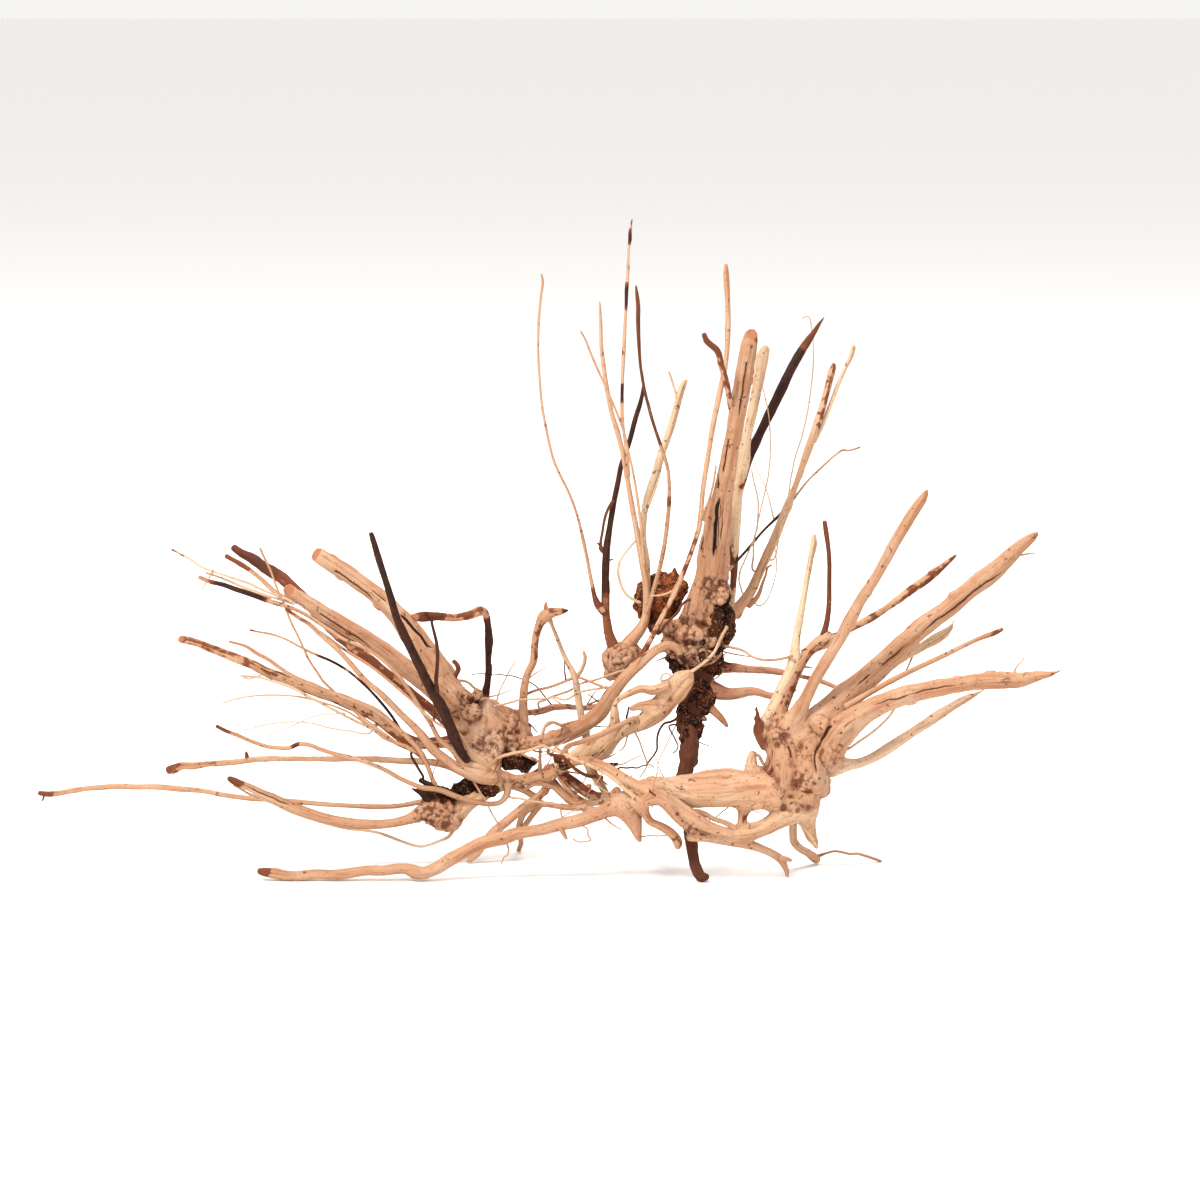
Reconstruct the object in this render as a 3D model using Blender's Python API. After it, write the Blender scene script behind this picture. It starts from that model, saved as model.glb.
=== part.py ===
"""A dry root: several knotty crowns joined by long roots, grown as one piece of wood.

Every stem and root is a round tube swept along a path. A path is read off the photograph as
(across, down, thickness) in its 1200-pixel square frame, and depths run evenly along it in millimetres,
away from the camera. PIXEL turns those readings into real size. The burls are lumpy balls, and one
union makes it all a single solid, flattened where it meets the floor.
"""

import math

import bmesh
import bpy
import numpy as np
from mathutils import Vector

MM = 0.001
FRAME_WIDTH = 840.0 * MM  # what the photograph spans at the object's middle: it drives every size
FRAME_PIXELS = 1200
PIXEL = FRAME_WIDTH / FRAME_PIXELS
PHOTO_CENTRE = (600.0, 600.0)
CAMERA_DISTANCE = 2.6
CAMERA_RISE = math.radians(10.0)
AIM_HEIGHT = 0.18
FLOOR_TRIM = 0.0006  # how far the lowest feet are flattened
PATH_TOLERANCE = 0.00115
THICK, MEDIUM = 0.0105, 0.0052
SIDES_THICK, SIDES_MEDIUM, SIDES_THIN = 8, 6, 4
BALL_STEPS = 2
SHIFT = (0.04316, 0.02079, 0.00021)  # puts the middle of the foot of its box at the origin
WOOD = (0.72, 0.47, 0.30, 1.0)

# name: (depths, path, flatness). Flatness is how thick the piece is along the view against across it.
ROOTS = {
    # left crown, the stems that fan out to the left
    "left_first": ((18, -8, -14), (
        (316, 554, 15), (330, 563, 16), (345, 572, 16.5), (360, 583, 17), (375, 594, 18), (390, 608, 19),
        (405, 624, 22), (418, 643, 26), (430, 663, 30), (441, 683, 33), (455, 705, 38), (468, 722, 40),
        (480, 738, 36)), 1),
    "left_second": ((-38, -34, -26), (
        (288, 590, 14), (310, 604, 15), (330, 617, 16), (350, 629, 16.5), (370, 641, 17), (390, 655, 18),
        (405, 668, 20), (420, 678, 21), (436, 690, 22), (452, 704, 24)), 1),
    "left_dark": ((40, 10, -2), (
        (233, 547, 7.5), (241, 553, 9), (253, 559, 11), (262, 566, 12), (283, 579, 12), (300, 595, 12),
        (340, 636, 12), (380, 668, 11), (420, 700, 10), (446, 722, 10), (462, 736, 10)), 1),
    "left_slip": ((34, 20), (
        (226, 556, 4.8), (235, 561, 4.8), (251, 571, 4.8), (262, 580, 4.8), (274, 591, 4.8), (290, 600, 4.5),
        (306, 603, 4.5)), 1),
    "left_pink": ((-50, -46, -50, -44), (
        (199, 577, 4), (208, 581, 5), (224, 585, 5), (235, 589, 5), (250, 594, 5), (272, 602, 5),
        (286, 606, 4.5), (299, 611, 4), (325, 627, 4), (345, 640, 3.5), (360, 646, 3.5), (380, 658, 3.5),
        (390, 667, 3.5), (400, 678, 4), (410, 692, 4), (420, 708, 4), (430, 722, 4.5), (440, 740, 5),
        (453, 751, 6), (461, 761, 7), (480, 768, 7), (490, 772, 7)), 1),
    "left_under": ((-52, -50, -46), (
        (286, 609, 4), (299, 618, 4), (309, 624, 4.5), (319, 633, 5), (340, 652, 5), (350, 663, 5),
        (365, 680, 5.5), (380, 693, 6), (400, 713, 6.5), (420, 733, 8), (434, 750, 10), (446, 760, 11),
        (457, 768, 12), (469, 773, 13), (483, 777, 14), (494, 778, 14)), 1),
    "left_strand": ((-46, -46, -54), (
        (320, 632, 3), (345, 650, 3), (370, 666, 3), (395, 686, 3), (413, 702, 3), (425, 714, 3),
        (440, 725, 3.5), (449, 729, 4)), 1),
    "left_twig": ((-24, -46), (
        (172, 549.5, 2.2), (180, 554, 2.2), (190, 559, 2.2), (200, 566, 2.2), (209, 570, 2.2), (224, 575, 2.5),
        (239, 580, 2.5), (251, 584, 2.5), (261, 589, 2.5), (273, 594, 2.5), (292, 602, 3)), 1),
    "left_twig_low": ((-26, -46), (
        (206, 573, 2.2), (213, 575, 2.5), (224, 579, 2.5), (239, 585.5, 2.5), (251, 590, 2.5),
        (262, 594, 2.5), (275, 598, 2.5), (294, 604, 3)), 1),
    "left_cross": ((-46, -44, -46, -50), (
        (260, 548, 2.2), (264, 557, 2.2), (269, 567, 2.2), (277, 588, 2.2), (286, 609, 2.4), (290, 620, 2.4),
        (298, 636, 2.4), (303, 647, 2.4), (309, 660, 2.4), (317, 672, 2.4), (323, 681, 2.6), (335, 693, 3),
        (341, 702, 3.5), (348, 706, 3.5), (366, 721, 3.8), (385, 735, 4), (396, 743, 4.4), (407, 747.5, 4.8),
        (417, 753, 5), (424, 758, 5)), 1),
    "left_thin": ((-36, -34, -16), (
        (250, 630, 2.2), (259, 632, 2.2), (268, 633.5, 2.5), (285, 639, 2.4), (302, 648, 2.8), (312, 653, 3),
        (333, 662, 3), (348, 671, 3), (364, 684.5, 3), (378, 699, 3), (392, 716.5, 3), (402, 732, 3),
        (409, 739, 4)), 1),
    "left_mid": ((-62, -52, -50), (
        (229, 641.5, 2.5), (247, 647, 3), (256, 653, 3.5), (269, 660, 3.8), (280, 668, 4), (298, 679, 4.5),
        (310, 684, 4.5), (330, 692, 4.5), (350, 699, 4.5), (380, 713, 4.5), (395, 726, 4.5), (410, 740, 5),
        (420, 752, 5), (427, 765, 4.5), (432, 778, 4.5), (437, 789, 5)), 1),
    "left_mottled": ((-18, -18, -14), (
        (180, 639, 8.5), (196, 642.5, 8.5), (208, 647, 8.5), (220, 652, 9), (235, 658, 10), (251, 664, 10),
        (267, 672, 10.5), (283, 678, 10.5), (300, 685, 11), (320, 692.5, 11), (340, 700, 11.5),
        (358, 708, 11.5), (375, 717, 11), (390, 728, 11.5), (402, 737, 12), (416, 743, 12), (432, 743, 12),
        (448, 742, 12), (468, 740, 12)), 1),
    "left_pale": ((-26, -26, -15), (
        (242, 676, 2.5), (262, 678, 2.5), (275, 682, 2.8), (288, 686, 2.8), (309, 697, 3), (332, 709, 3),
        (353, 720, 3), (375, 731, 3), (385, 739, 3), (399, 743, 4), (412, 743, 5)), 1),
    "left_arch": ((-78, -66, -40), (
        (216.5, 726, 3.5), (226, 731, 3.8), (238, 735.5, 4), (248, 740, 4), (259, 744, 4), (269, 747, 4),
        (279, 748, 4), (289, 748, 4.5), (299, 744, 4.5), (307, 744.5, 4.5), (321, 749.5, 4.5), (335, 754, 4.5),
        (348, 757, 4.5), (372, 764.5, 4.5), (385, 770, 4.5), (400, 778.5, 4.5), (410, 783, 4.5), (420, 787, 5),
        (440, 790, 5.4), (455, 796, 5.7), (470, 801, 5.6), (481, 803, 5.4), (492, 804, 5.6), (500, 802.5, 5.5),
        (506, 796, 7), (508, 785, 9)), 1),
    "left_knob": ((44, 16, -8, -30), (
        (168, 770, 9), (174, 769, 10.5), (181, 766, 8.5), (192, 766, 8), (208, 764, 7), (224, 763, 7),
        (240, 761.5, 6.6), (256, 759.5, 6.4), (299, 759, 6.4), (327, 759, 6.6), (353, 759, 6.8), (375, 759, 7),
        (396, 760.5, 7.2), (417, 761.5, 7.5), (433, 762.5, 8), (448, 766, 8), (462, 772, 9), (478, 778, 9)), 1),
    "left_low": ((-64, -58, -50), (
        (228, 778, 6), (232, 780, 8), (240, 784, 8.7), (250, 787.5, 9), (260, 793, 10), (270, 797.5, 11),
        (290, 806.5, 12), (310, 814, 12), (330, 819.5, 11.5), (350, 823.5, 11), (370, 824.5, 10),
        (385, 824, 9.8), (400, 821.5, 10), (412, 818, 11), (421, 813.5, 13), (432, 812, 16)), 1),
    "left_long": ((-24, -26, -36), (
        (39, 793, 5), (49, 794, 5.9), (60, 793, 5.6), (76, 790, 5.5), (94, 788, 5.5), (121, 786.6, 5.5),
        (137, 787, 5.7), (158, 787, 5.9), (179, 789, 5.6), (203, 791, 5.3), (224, 795, 5.3), (251, 798.5, 5.3),
        (275, 800, 5.3), (299, 802, 5.3), (330, 804.7, 5.3), (350, 805.7, 5.3), (383, 806.7, 5.3),
        (397, 806, 5.3), (410, 804, 5.5), (421, 802, 6), (432, 803, 8)), 1),
    "left_sag": ((-58, -46, -46, -46), (
        (234, 785, 3), (251, 795, 3), (272, 803, 3), (300, 815, 2.8), (350, 829, 2.8), (366, 830.5, 2.8),
        (379, 833, 2.8), (390, 837, 3), (403, 842, 3), (414, 845.5, 3), (422, 846.5, 3), (430, 844.5, 3),
        (441, 840.5, 3), (449, 836.5, 3.5), (452.5, 831, 4), (453.5, 824, 5), (452, 817, 6)), 1),
    "dark_rod": ((-98, -78, -60, -48), (
        (371, 533, 5.5), (374, 543, 6.5), (380, 563, 7), (386, 582, 7.2), (391, 598, 7.6), (395.5, 614, 8),
        (398.5, 622, 8.5), (403.5, 633, 8.8), (409, 645, 9), (420, 667, 10), (431, 689, 11), (443, 711, 12),
        (448, 722, 12.5), (455.5, 740, 11), (460, 750, 9), (468, 762, 7)), 1),
    "dark_rod_root": ((-42, -36), (
        (458, 735, 7), (463, 742, 9), (468, 750, 10.5), (475, 758, 11), (482, 766, 12), (490, 773, 13)), 1),
    "dark_twig": ((-70, -66, -62), (
        (425, 612.5, 2.4), (431, 618, 2.8), (432, 624, 2.8), (434, 632, 3), (436, 640, 3.3), (437.4, 650, 3.6),
        (437, 668, 4), (436, 680, 4.5), (437, 692, 5)), 1),
    "elbow": ((-70, -45, -12, 0), (
        (414, 617, 7), (417, 617, 8.5), (440, 616.4, 9), (455, 617.8, 8), (465, 616, 9), (473, 614, 9.5),
        (480, 611, 10), (484.5, 612, 8), (487, 620, 7), (488.5, 630, 8), (489, 640, 9), (488.4, 660, 7.2),
        (488.3, 672, 6.8), (487.5, 683, 7), (485.5, 692, 7), (485, 700, 8), (488, 714, 9)), 1),
    "left_stub": ((-12, -14), (
        (452, 683, 6), (456.5, 674, 4.5), (458.5, 669, 5), (456.5, 664, 4.5), (453.5, 661, 4)), 1),
    "left_bridge": ((-34, -38, -60), (
        (486, 772, 16), (496, 777, 16), (507, 781, 14), (518, 781, 12.5), (530, 778.5, 12), (540, 776, 12),
        (550, 774, 12), (562, 768, 10), (575, 762, 9), (592, 760, 9)), 1),
    "left_neck": ((-44, -40), ((440, 810, 22), (455, 810, 20), (470, 801, 16), (483, 794, 14), (498, 784, 14)), 1),
    "left_drop": ((-32, -50, -88), (
        (546, 776, 9), (555, 786, 9), (562, 793, 9), (570, 799, 9.5), (578, 804, 9), (586, 809, 9),
        (598, 812, 10)), 1),
    "left_brown": ((-34, -44, -62, -88), (
        (556, 770, 9), (569, 779, 10), (578, 786, 10.5), (587, 792.5, 10.5), (597, 797, 11), (608, 797, 10),
        (620, 797, 8), (634, 798, 8)), 1),
    "soil_spike": ((-52, -46), ((411, 788, 2), (422, 793, 7), (436, 799, 11)), 1),
    "soil_ridge": ((-52, -48), ((420, 780, 5), (430, 785, 6), (440, 789, 6), (452, 793, 7)), 1),
    # the roots under the left crown
    "pale_foot": ((-40, -38, -42, -37), (
        (550, 779, 7), (540, 794, 7), (533, 800, 8.5), (524.5, 806.5, 9.3), (515, 814.5, 9.6),
        (505.5, 822.5, 9.6), (495, 831, 9.5), (488, 838, 8.5), (482, 848, 7), (475, 856, 7), (467.5, 861.3, 5)), 1),
    "back_foot": ((-78, -46, -18, -1), (
        (586, 808, 6), (561, 807, 5.5), (552, 805, 6), (543.5, 804.3, 6), (535, 806.4, 6), (527, 811, 6.2),
        (522, 817, 6.2), (519, 826, 6), (519.5, 835, 5.5), (521, 842, 5), (518.6, 850.5, 4)), 1),
    "back_foot_side": ((-40, -24, -13), (
        (543, 803, 5), (536, 810.5, 6.5), (531, 817, 6.8), (526, 824, 6.5), (520, 830, 5)), 1),
    "front_long": ((-86, -87, -88, -90, -90), (
        (258, 871, 7), (263, 872, 9.5), (270, 873, 10.5), (290, 876, 10.5), (317, 874, 10.3), (333, 874.7, 10.5),
        (350, 872.7, 10.5), (366, 870.7, 10.2), (383, 870.7, 9.8), (397, 869, 10.5), (407, 869, 11),
        (414, 871.5, 14), (421, 873, 13), (430, 871, 12.5), (439, 867, 12.5), (449, 860, 13), (460, 854, 13.5),
        (471, 848, 13.8), (484, 842.5, 14), (494, 840, 14.5), (504, 838, 14), (516, 833.5, 13), (527, 831.5, 12),
        (543, 829, 12.5), (560, 824.5, 13.5), (576, 821, 13.8), (591, 816, 14), (604, 811, 15), (617, 805, 17),
        (630, 799, 19), (642, 794, 21), (658, 791, 23)), 1),
    "front_thorn": ((-92, -94), ((560, 827, 7), (564, 834, 4.5), (566.5, 839, 2)), 1),
    "front_foot": ((-91, -93), ((624, 806, 20), (633, 818, 19), (636, 828, 14), (638, 836, 9), (640.5, 842, 4)), 1),
    # the verticals between the left and middle crowns
    "upright": ((-28, -18, -8), (
        (548.5, 613.5, 8), (541.5, 620, 8.8), (538, 628, 8.8), (535.8, 637, 8.6), (534.4, 650, 8),
        (533.5, 661, 8), (530.5, 668, 8), (527, 675, 7.6), (525, 683, 8), (523.3, 701, 8.5), (523.3, 711, 9.2),
        (523.5, 721, 10.2), (523.5, 731, 11), (521, 743, 12)), 1),
    "upright_tip": ((-28, -32), (
        (544, 616, 7), (552.5, 612.5, 7.2), (557, 612, 8), (562, 611, 7.2), (566, 610.7, 4.5),
        (570, 609.5, 2)), 0.7),
    "upright_spur": ((-28, -28), ((547.5, 615, 6), (545.8, 608, 4.5), (546, 602.5, 2.6)), 1),
    "upright_pale": ((-26, -14, -12, -24), (
        (548, 614, 3.5), (552, 625, 4.2), (556, 635, 4.7), (564, 655, 5.3), (568.3, 664, 5.8), (572.7, 672, 6.8),
        (575.7, 681, 7.3), (577, 690, 7.8), (580, 710, 8.5), (582, 720, 8.5), (585, 730, 7.5), (588, 742, 7)), 1),
    "upright_side": ((-10, -12), (
        (583.5, 651.5, 3), (585, 656.5, 3.8), (584.5, 662, 3.8), (582, 669, 4.2), (576, 678, 5)), 1),
    "cross_brown": ((-4, 8, 10, -24), (
        (488, 706, 5), (498, 709.5, 5.5), (504, 711.5, 6.5), (511, 712.3, 7), (520, 712.5, 6.5), (530, 712.5, 6.3),
        (538, 711.8, 6.6), (545, 710, 7), (552, 707.7, 6.6), (560, 707, 6.2), (578, 707.4, 5.8), (586, 708, 5.6),
        (594, 706.5, 5.4), (604, 704, 6)), 1),
    "cross_thin": ((-12, -12), (
        (522, 696, 3.2), (536, 690.5, 3), (550, 687, 3), (562, 682.5, 3), (568, 680, 3.2), (577, 677, 4)), 1),
    "cross_thin_right": ((-14, -34), ((578, 677, 3), (587, 680.5, 2.8), (598, 685, 2.8), (614, 691, 4)), 1),
    "pale_runner": ((-46, -72, -94, -100), (
        (488, 770, 5), (491.5, 764, 3.2), (495.5, 760, 3), (501, 756.7, 3), (510, 754, 3), (530, 750, 3),
        (538, 747.3, 3), (542.5, 745.5, 3.2), (548, 748.3, 3), (562, 753, 3), (577, 760, 3.4), (595, 767.7, 3.6),
        (603, 772, 3.6), (611, 777, 3.6), (618, 782.5, 3.8), (625, 789, 4), (632, 794.7, 4.5), (640, 801, 6)), 1),
    "bent_twig": ((-40, -48, -34), (
        (540, 774, 5), (540, 760, 3.8), (541, 742, 3.5), (543, 732, 3.5), (545.5, 726, 3.2), (548.5, 722.8, 3.2),
        (553, 722.3, 3.2), (559, 724.5, 3.5), (568, 729, 4)), 1),
    # the tangle under the middle crown
    "middle_arm": ((-16, -26, -34, -40, -34), (
        (508, 744, 14), (530, 744, 14), (545, 741, 15), (560, 737, 16.5), (574, 730.5, 16.5), (590, 721, 16),
        (600, 712, 15.5), (607, 702, 14.5), (615, 690, 13.5), (623, 680, 12.5), (632, 671, 11.5), (640, 664, 11),
        (649, 656, 10.5), (659, 648.5, 10), (669, 645, 9.5), (676, 648, 8.5), (681, 655.5, 7), (685, 663, 4.5),
        (687.5, 667, 2.5)), 1),
    "front_crossing": ((-60, -90, -101, -100, -92), (
        (588, 760, 8), (605, 766, 9), (616, 773, 9.5), (627, 780, 10), (638, 786, 10.5), (650, 790, 11),
        (662, 797, 11), (674, 804, 11.5), (686, 812, 12), (698, 820, 12.5), (710, 827, 11.5), (721, 831, 10),
        (734, 834, 9)), 1),
    "front_loop": ((-96, -105, -104, -98, -92), (
        (632, 800, 9), (641, 803, 12), (648, 800, 10), (655, 798, 9), (663, 801.5, 9), (670, 808, 9.5),
        (676, 816, 9), (683, 822.5, 9), (690, 828, 9), (697, 833, 9.5), (704, 836, 9)), 1),
    "front_claw": ((-98, -97, -92), (
        (640, 804, 10), (646, 815, 9), (651, 822, 8.5), (659, 825.5, 8.5), (667, 830, 8.5), (674, 836, 9),
        (678, 843, 9), (678, 847.5, 6.5)), 1),
    "front_runner": ((-97, -92), (
        (688, 812, 5), (698, 811.5, 5), (706, 814.5, 5), (712, 818, 4.8), (727, 823.5, 5), (736, 829, 6)), 1),
    "slab": ((-42, -46, -52), (
        (691, 673, 10), (687, 677, 20), (680, 684, 25), (672, 694, 25), (663, 704.5, 23), (653, 714, 20.5),
        (643, 722.5, 16), (632, 728.5, 11), (620, 734, 9), (608, 740, 9), (597, 746, 9), (588, 752, 9),
        (578, 759, 8)), 0.45),
    "slab_branch": ((-48, -50), (
        (668, 685, 10), (658, 689, 10), (650, 690, 9), (642, 688.5, 8), (634, 691, 7.5), (626, 695, 6.5),
        (619, 699, 6), (615, 704, 6), (614.5, 712, 9), (614.5, 722, 9.5), (612, 731, 8.5), (607, 739, 8),
        (599, 748, 8)), 1),
    "slab_tip": ((-48, -48), ((630, 709, 5), (636, 707, 7.5), (644, 705.5, 9), (656, 706, 11)), 0.8),
    "tangle_pale": ((-46, -49), ((618, 732, 8), (612, 742, 10), (607, 749, 12), (601, 755, 11), (590, 761, 8)), 1),
    "tangle_root": ((-46, -50), (
        (622, 727, 6), (604, 734, 6), (588, 740.5, 6.5), (582, 746, 6.5), (576, 752, 7), (568, 757, 7),
        (556, 765, 9)), 1),
    "tangle_stub": ((-56, -50), ((588, 763, 9), (592, 772, 9), (596, 778, 8.5), (601, 785, 8), (606, 794, 8)), 1),
    "white_twig": ((-36, -42), (
        (727, 626.5, 3), (720, 640, 3), (713.5, 653, 3), (708.5, 658.5, 3), (702, 664, 3), (696, 668.5, 3.2),
        (688, 674, 5)), 1),
    # the middle crown, its taproot and its side roots
    "taproot": ((-6, -14, -30, -50, -66, -74, -80, -91.5), (
        (702, 655, 26), (700, 672, 24), (694, 700, 25), (690, 712, 26), (689, 724, 23), (690, 734, 20),
        (690, 746, 19), (688, 760, 17), (685, 770, 15.5), (682, 780, 14), (684, 795, 13), (688, 815, 13),
        (690, 833, 12.5), (691.5, 845, 12), (693, 856, 11.5), (695.5, 866, 11), (699, 874, 11), (703, 878, 10),
        (707, 876, 7)), 1),
    "taproot_stub": ((-26, -36), (
        (698, 696, 14), (708, 705, 9.5), (714, 711, 9), (720, 717, 8), (725, 723, 6), (728, 727.5, 3.5)), 1),
    "side_upper": ((0, -20, -44, -66), (
        (708, 666, 18), (724, 667.5, 12), (736, 668, 10), (750, 669.5, 8.3), (766, 670.5, 7.8), (786, 673, 6),
        (800, 676, 5.5), (812, 679, 5.5), (823, 682, 5.5), (832, 685.5, 5.5), (844, 693, 6)), 1),
    "side_lower": ((-8, -24, -52, -70), (
        (700, 690, 20), (716, 691, 16), (726, 693.5, 12.5), (740, 693, 11.5), (750, 691.5, 10), (760, 692.5, 8.5),
        (768, 695.5, 7.5), (776, 696, 7.5), (786, 697, 8)), 1),
    "side_hair": ((-6, -30, -66), (
        (714, 643, 5), (728, 646.7, 3), (738, 648.8, 2.8), (745, 651.5, 2.6), (750.7, 655.7, 2.6),
        (757, 658.5, 2.6), (767, 660, 2.6), (784, 658.2, 2.6), (792, 656, 3)), 1),
    "stem_far_left": ((-70, -40, -6), (
        (541.3, 274, 1.8), (542.5, 280, 2.3), (541, 295, 2.3), (539.3, 312, 2.4), (538, 348, 2.4),
        (540, 385, 2.5), (541.5, 402, 2.5), (547, 433, 2.6), (551, 451, 2.7), (555, 464, 2.8), (561, 477, 2.9),
        (568, 491, 3), (574, 506, 3.1), (578.5, 520, 3.2), (583, 540, 3.4), (587, 558, 3.6), (590, 575, 3.9),
        (592.5, 587, 4.4), (595, 598, 5.5), (598, 605, 8), (604, 612, 9)), 1),
    "stem_dark": ((50, 20, 0, -10), (
        (643.5, 386, 3), (642, 396, 4), (635, 420, 4.8), (629.5, 441, 4.8), (625.5, 453, 4.8), (621, 466, 5),
        (618.5, 480, 5.2), (614, 502, 6), (610, 526, 6.3), (606.5, 550, 7.4), (605.5, 574, 8), (605.3, 598, 8),
        (605.5, 610, 8), (607, 622, 8.3), (609, 634, 9.2), (612.5, 645, 12), (618, 658, 17)), 1),
    "stem_dark_twig": ((8, 4), (
        (613, 501, 3.5), (608.5, 508, 3), (606, 514, 3), (602, 534, 2.8), (600.5, 543, 3.2), (601, 549, 5),
        (605, 553, 5)), 1),
    "stem_second": ((-34, -14, -5), (
        (580.5, 331, 1.8), (584, 337, 2), (591, 354, 2.2), (606, 388, 2.5), (620, 421, 2.5), (623.5, 431, 2.5),
        (628, 450, 2.5), (633, 472, 2.4), (637, 495, 2.6), (640, 518, 3), (642, 535, 4), (643, 554, 5), (644, 566, 5)), 1),
    "stem_third": ((16, 6, -4, -8), (
        (599.7, 302, 1.4), (600, 309, 2.6), (600.5, 320, 3.3), (601.7, 350, 3.9), (604.5, 372, 4.4),
        (607.5, 392, 4.2), (611.5, 412, 4.6), (617.5, 432, 4.8), (622.5, 452, 4.8), (626.5, 474, 5),
        (631, 500, 5.5), (636, 528, 6), (641.5, 560, 6.3), (643.5, 570, 6.8), (646.5, 594, 7.5),
        (646.7, 606, 8), (645.5, 617, 9), (641, 628, 11), (634, 637, 12.5), (627, 646, 15), (620, 656, 20)), 1),
    "stem_banded": ((30, 16, -1), (
        (632, 219.5, 1.4), (631, 226, 2.2), (630, 233, 3.4), (630, 239, 3.8), (629, 246, 2.8), (628, 270, 3.2),
        (626.5, 292, 3.8), (626.3, 301, 3.3), (625, 325, 3.3), (624.3, 340, 3.5), (622.5, 378, 3.4),
        (622, 403, 3.2), (622, 414, 3.3), (623.8, 432, 3), (627, 457, 3), (628.5, 476, 4)), 1),
    "stem_bowed": ((-50, -30, -16, -10), (
        (636, 286, 1.8), (637, 295, 3.5), (638, 305, 3.8), (638, 320, 3.8), (638.7, 340, 3.6), (641, 370, 3),
        (644.5, 390, 3.3), (650, 412, 3.2), (658, 438, 3.1), (665, 459, 3.5), (668, 470, 3.5), (669, 483, 3.6),
        (669, 500, 3.9), (666.8, 527, 4.1), (662.5, 555, 4.4), (657, 578, 4.4), (653.5, 590, 4.6),
        (650.5, 600, 5), (647, 612, 6)), 1),
    "stem_pale": ((45, 20, -2), (
        (687, 380, 4), (684, 383, 7), (681, 391, 7.8), (675.5, 411, 8), (669, 433, 8.3), (661, 454, 8),
        (653.5, 478, 7.5), (646.5, 500, 8), (644.3, 512, 8), (643, 525, 8), (643, 540, 8), (645, 550, 7),
        (648, 570, 6), (648, 582, 6), (647, 597, 7)), 1),
    "stem_pale_side": ((34, 12), (
        (668, 440, 5), (662.5, 458, 3.3), (659.5, 472, 3), (656.5, 484, 2.8), (652, 497, 2.8),
        (645, 512, 4)), 1),
    "stem_pale_twig": ((44, 38), ((669, 372, 2), (672, 381, 2.2), (675, 390, 2.3), (678, 402, 4)), 1),
    "stem_loop": ((-2, -6, -2), (
        (640, 536, 3), (630, 547, 2.6), (623, 556, 2.6), (619, 563, 3), (618, 572, 3.2), (619.5, 580, 3),
        (623, 590, 3), (628, 596, 2.8), (634, 600, 3), (643, 604, 4)), 1),
    "stem_whip": ((-18, -26, -24, -30, -36), (
        (726, 264.5, 3), (726, 269, 4.5), (727.5, 300, 5.3), (728, 320, 5.3), (727.5, 342, 5.3), (726, 360, 5.2),
        (720, 392, 5.2), (714, 420, 5.3), (708.5, 453, 5), (703.5, 485, 4.8), (700.5, 515, 5), (699, 528, 4.8),
        (695.5, 540, 4.7), (688, 561, 4.8), (679, 583, 5.2), (668, 606, 5.5), (658, 625, 5.8), (648.5, 643, 5.8),
        (643, 653, 6.2), (637, 662, 7.5), (629, 673, 9)), 1),
    "stem_main": ((-28, -20, -8, 0), (
        (752, 333, 12), (750, 340, 16), (747.5, 355, 17), (744, 375, 17.2), (740, 400, 17.4), (732.5, 440, 16.6),
        (729, 460, 17), (725.5, 480, 18.5), (721.5, 500, 22), (718, 520, 27), (715.5, 540, 30), (713, 560, 32),
        (711, 578, 31), (706, 594, 32), (704, 610, 42), (703, 626, 50), (700, 642, 54)), 0.9),
    "stem_main_right": ((8, 10, 12), (
        (766, 347, 8), (764, 352, 10.5), (759, 378, 11), (751, 418, 10), (742, 460, 10.5), (738.5, 480, 11),
        (736, 500, 13), (734, 520, 14), (733, 540, 14), (733.5, 556, 11), (734, 570, 8.5), (733, 585, 7),
        (731, 600, 7), (722, 614, 12)), 1),
    "stem_pointed": ((46, 34, 22, 7), (
        (824.5, 317, 2), (821, 321.5, 3.5), (815.5, 330, 6), (804.5, 346, 9), (799, 355, 9.8), (784, 384, 10),
        (773, 407, 10), (761, 431, 9.4), (751, 453, 8.8), (747.5, 463, 6.5), (744.5, 473, 4.8),
        (740, 487, 4)), 1),
    "stem_bent": ((-48, -40, -12), (
        (704, 334, 4.5), (706, 340, 6), (711, 345, 6.2), (716, 349, 6.2), (721.5, 366, 6.2), (727, 386, 6.2),
        (731, 408, 5.5), (736, 424, 5)), 1),
    "stem_bundle": ((92, 60, 30, 8), (
        (834, 364, 5), (832.5, 369, 7.5), (829.5, 380, 7.8), (824.5, 400, 8), (815, 430, 9), (808, 450, 8.6),
        (801, 470, 7.4), (794, 490, 7), (790, 500, 8), (782, 520, 8.4), (773.5, 540, 9), (764.7, 560, 9),
        (756, 580, 10.2), (751.3, 590, 11), (745, 600, 11.5), (737, 610, 10.5), (729, 619, 12),
        (720, 630, 14)), 1),
    "stem_bundle_pale": ((104, 86, 68), (
        (853.5, 346.5, 4.5), (852, 353, 4.8), (845, 369, 4), (838, 385, 4), (831, 403, 4.8), (824, 421, 5),
        (814, 442, 5)), 1),
    "stem_black_twig": ((70, 56, 42, -12), (
        (860, 447.3, 2), (847, 450.5, 2.2), (842.5, 450, 3), (838, 453, 2.4), (822, 467, 2.5), (808.5, 480, 2.4),
        (793.5, 499, 2.8), (786, 508.5, 3), (778.5, 516, 3), (768, 526, 2.8), (745, 552, 3), (722, 577, 4)), 1),
    "stem_bundle_twig": ((24, 16), (
        (771.5, 565, 2), (768, 567, 2.2), (766, 574, 2.6), (763, 582, 3.2), (757, 597, 5.5), (748, 606, 7)), 1),
    # the right crown and its spreading stems
    "right_first": ((-122, -104, -90, -80), (
        (927, 491, 5), (923, 498, 9), (916, 508, 10.5), (908.5, 520, 11.2), (891, 550, 10.6), (874, 580, 10.3),
        (860.5, 601, 11.4), (850.5, 620, 12.2), (840, 639, 11.5), (827, 660, 12), (815, 680, 12.4),
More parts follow.
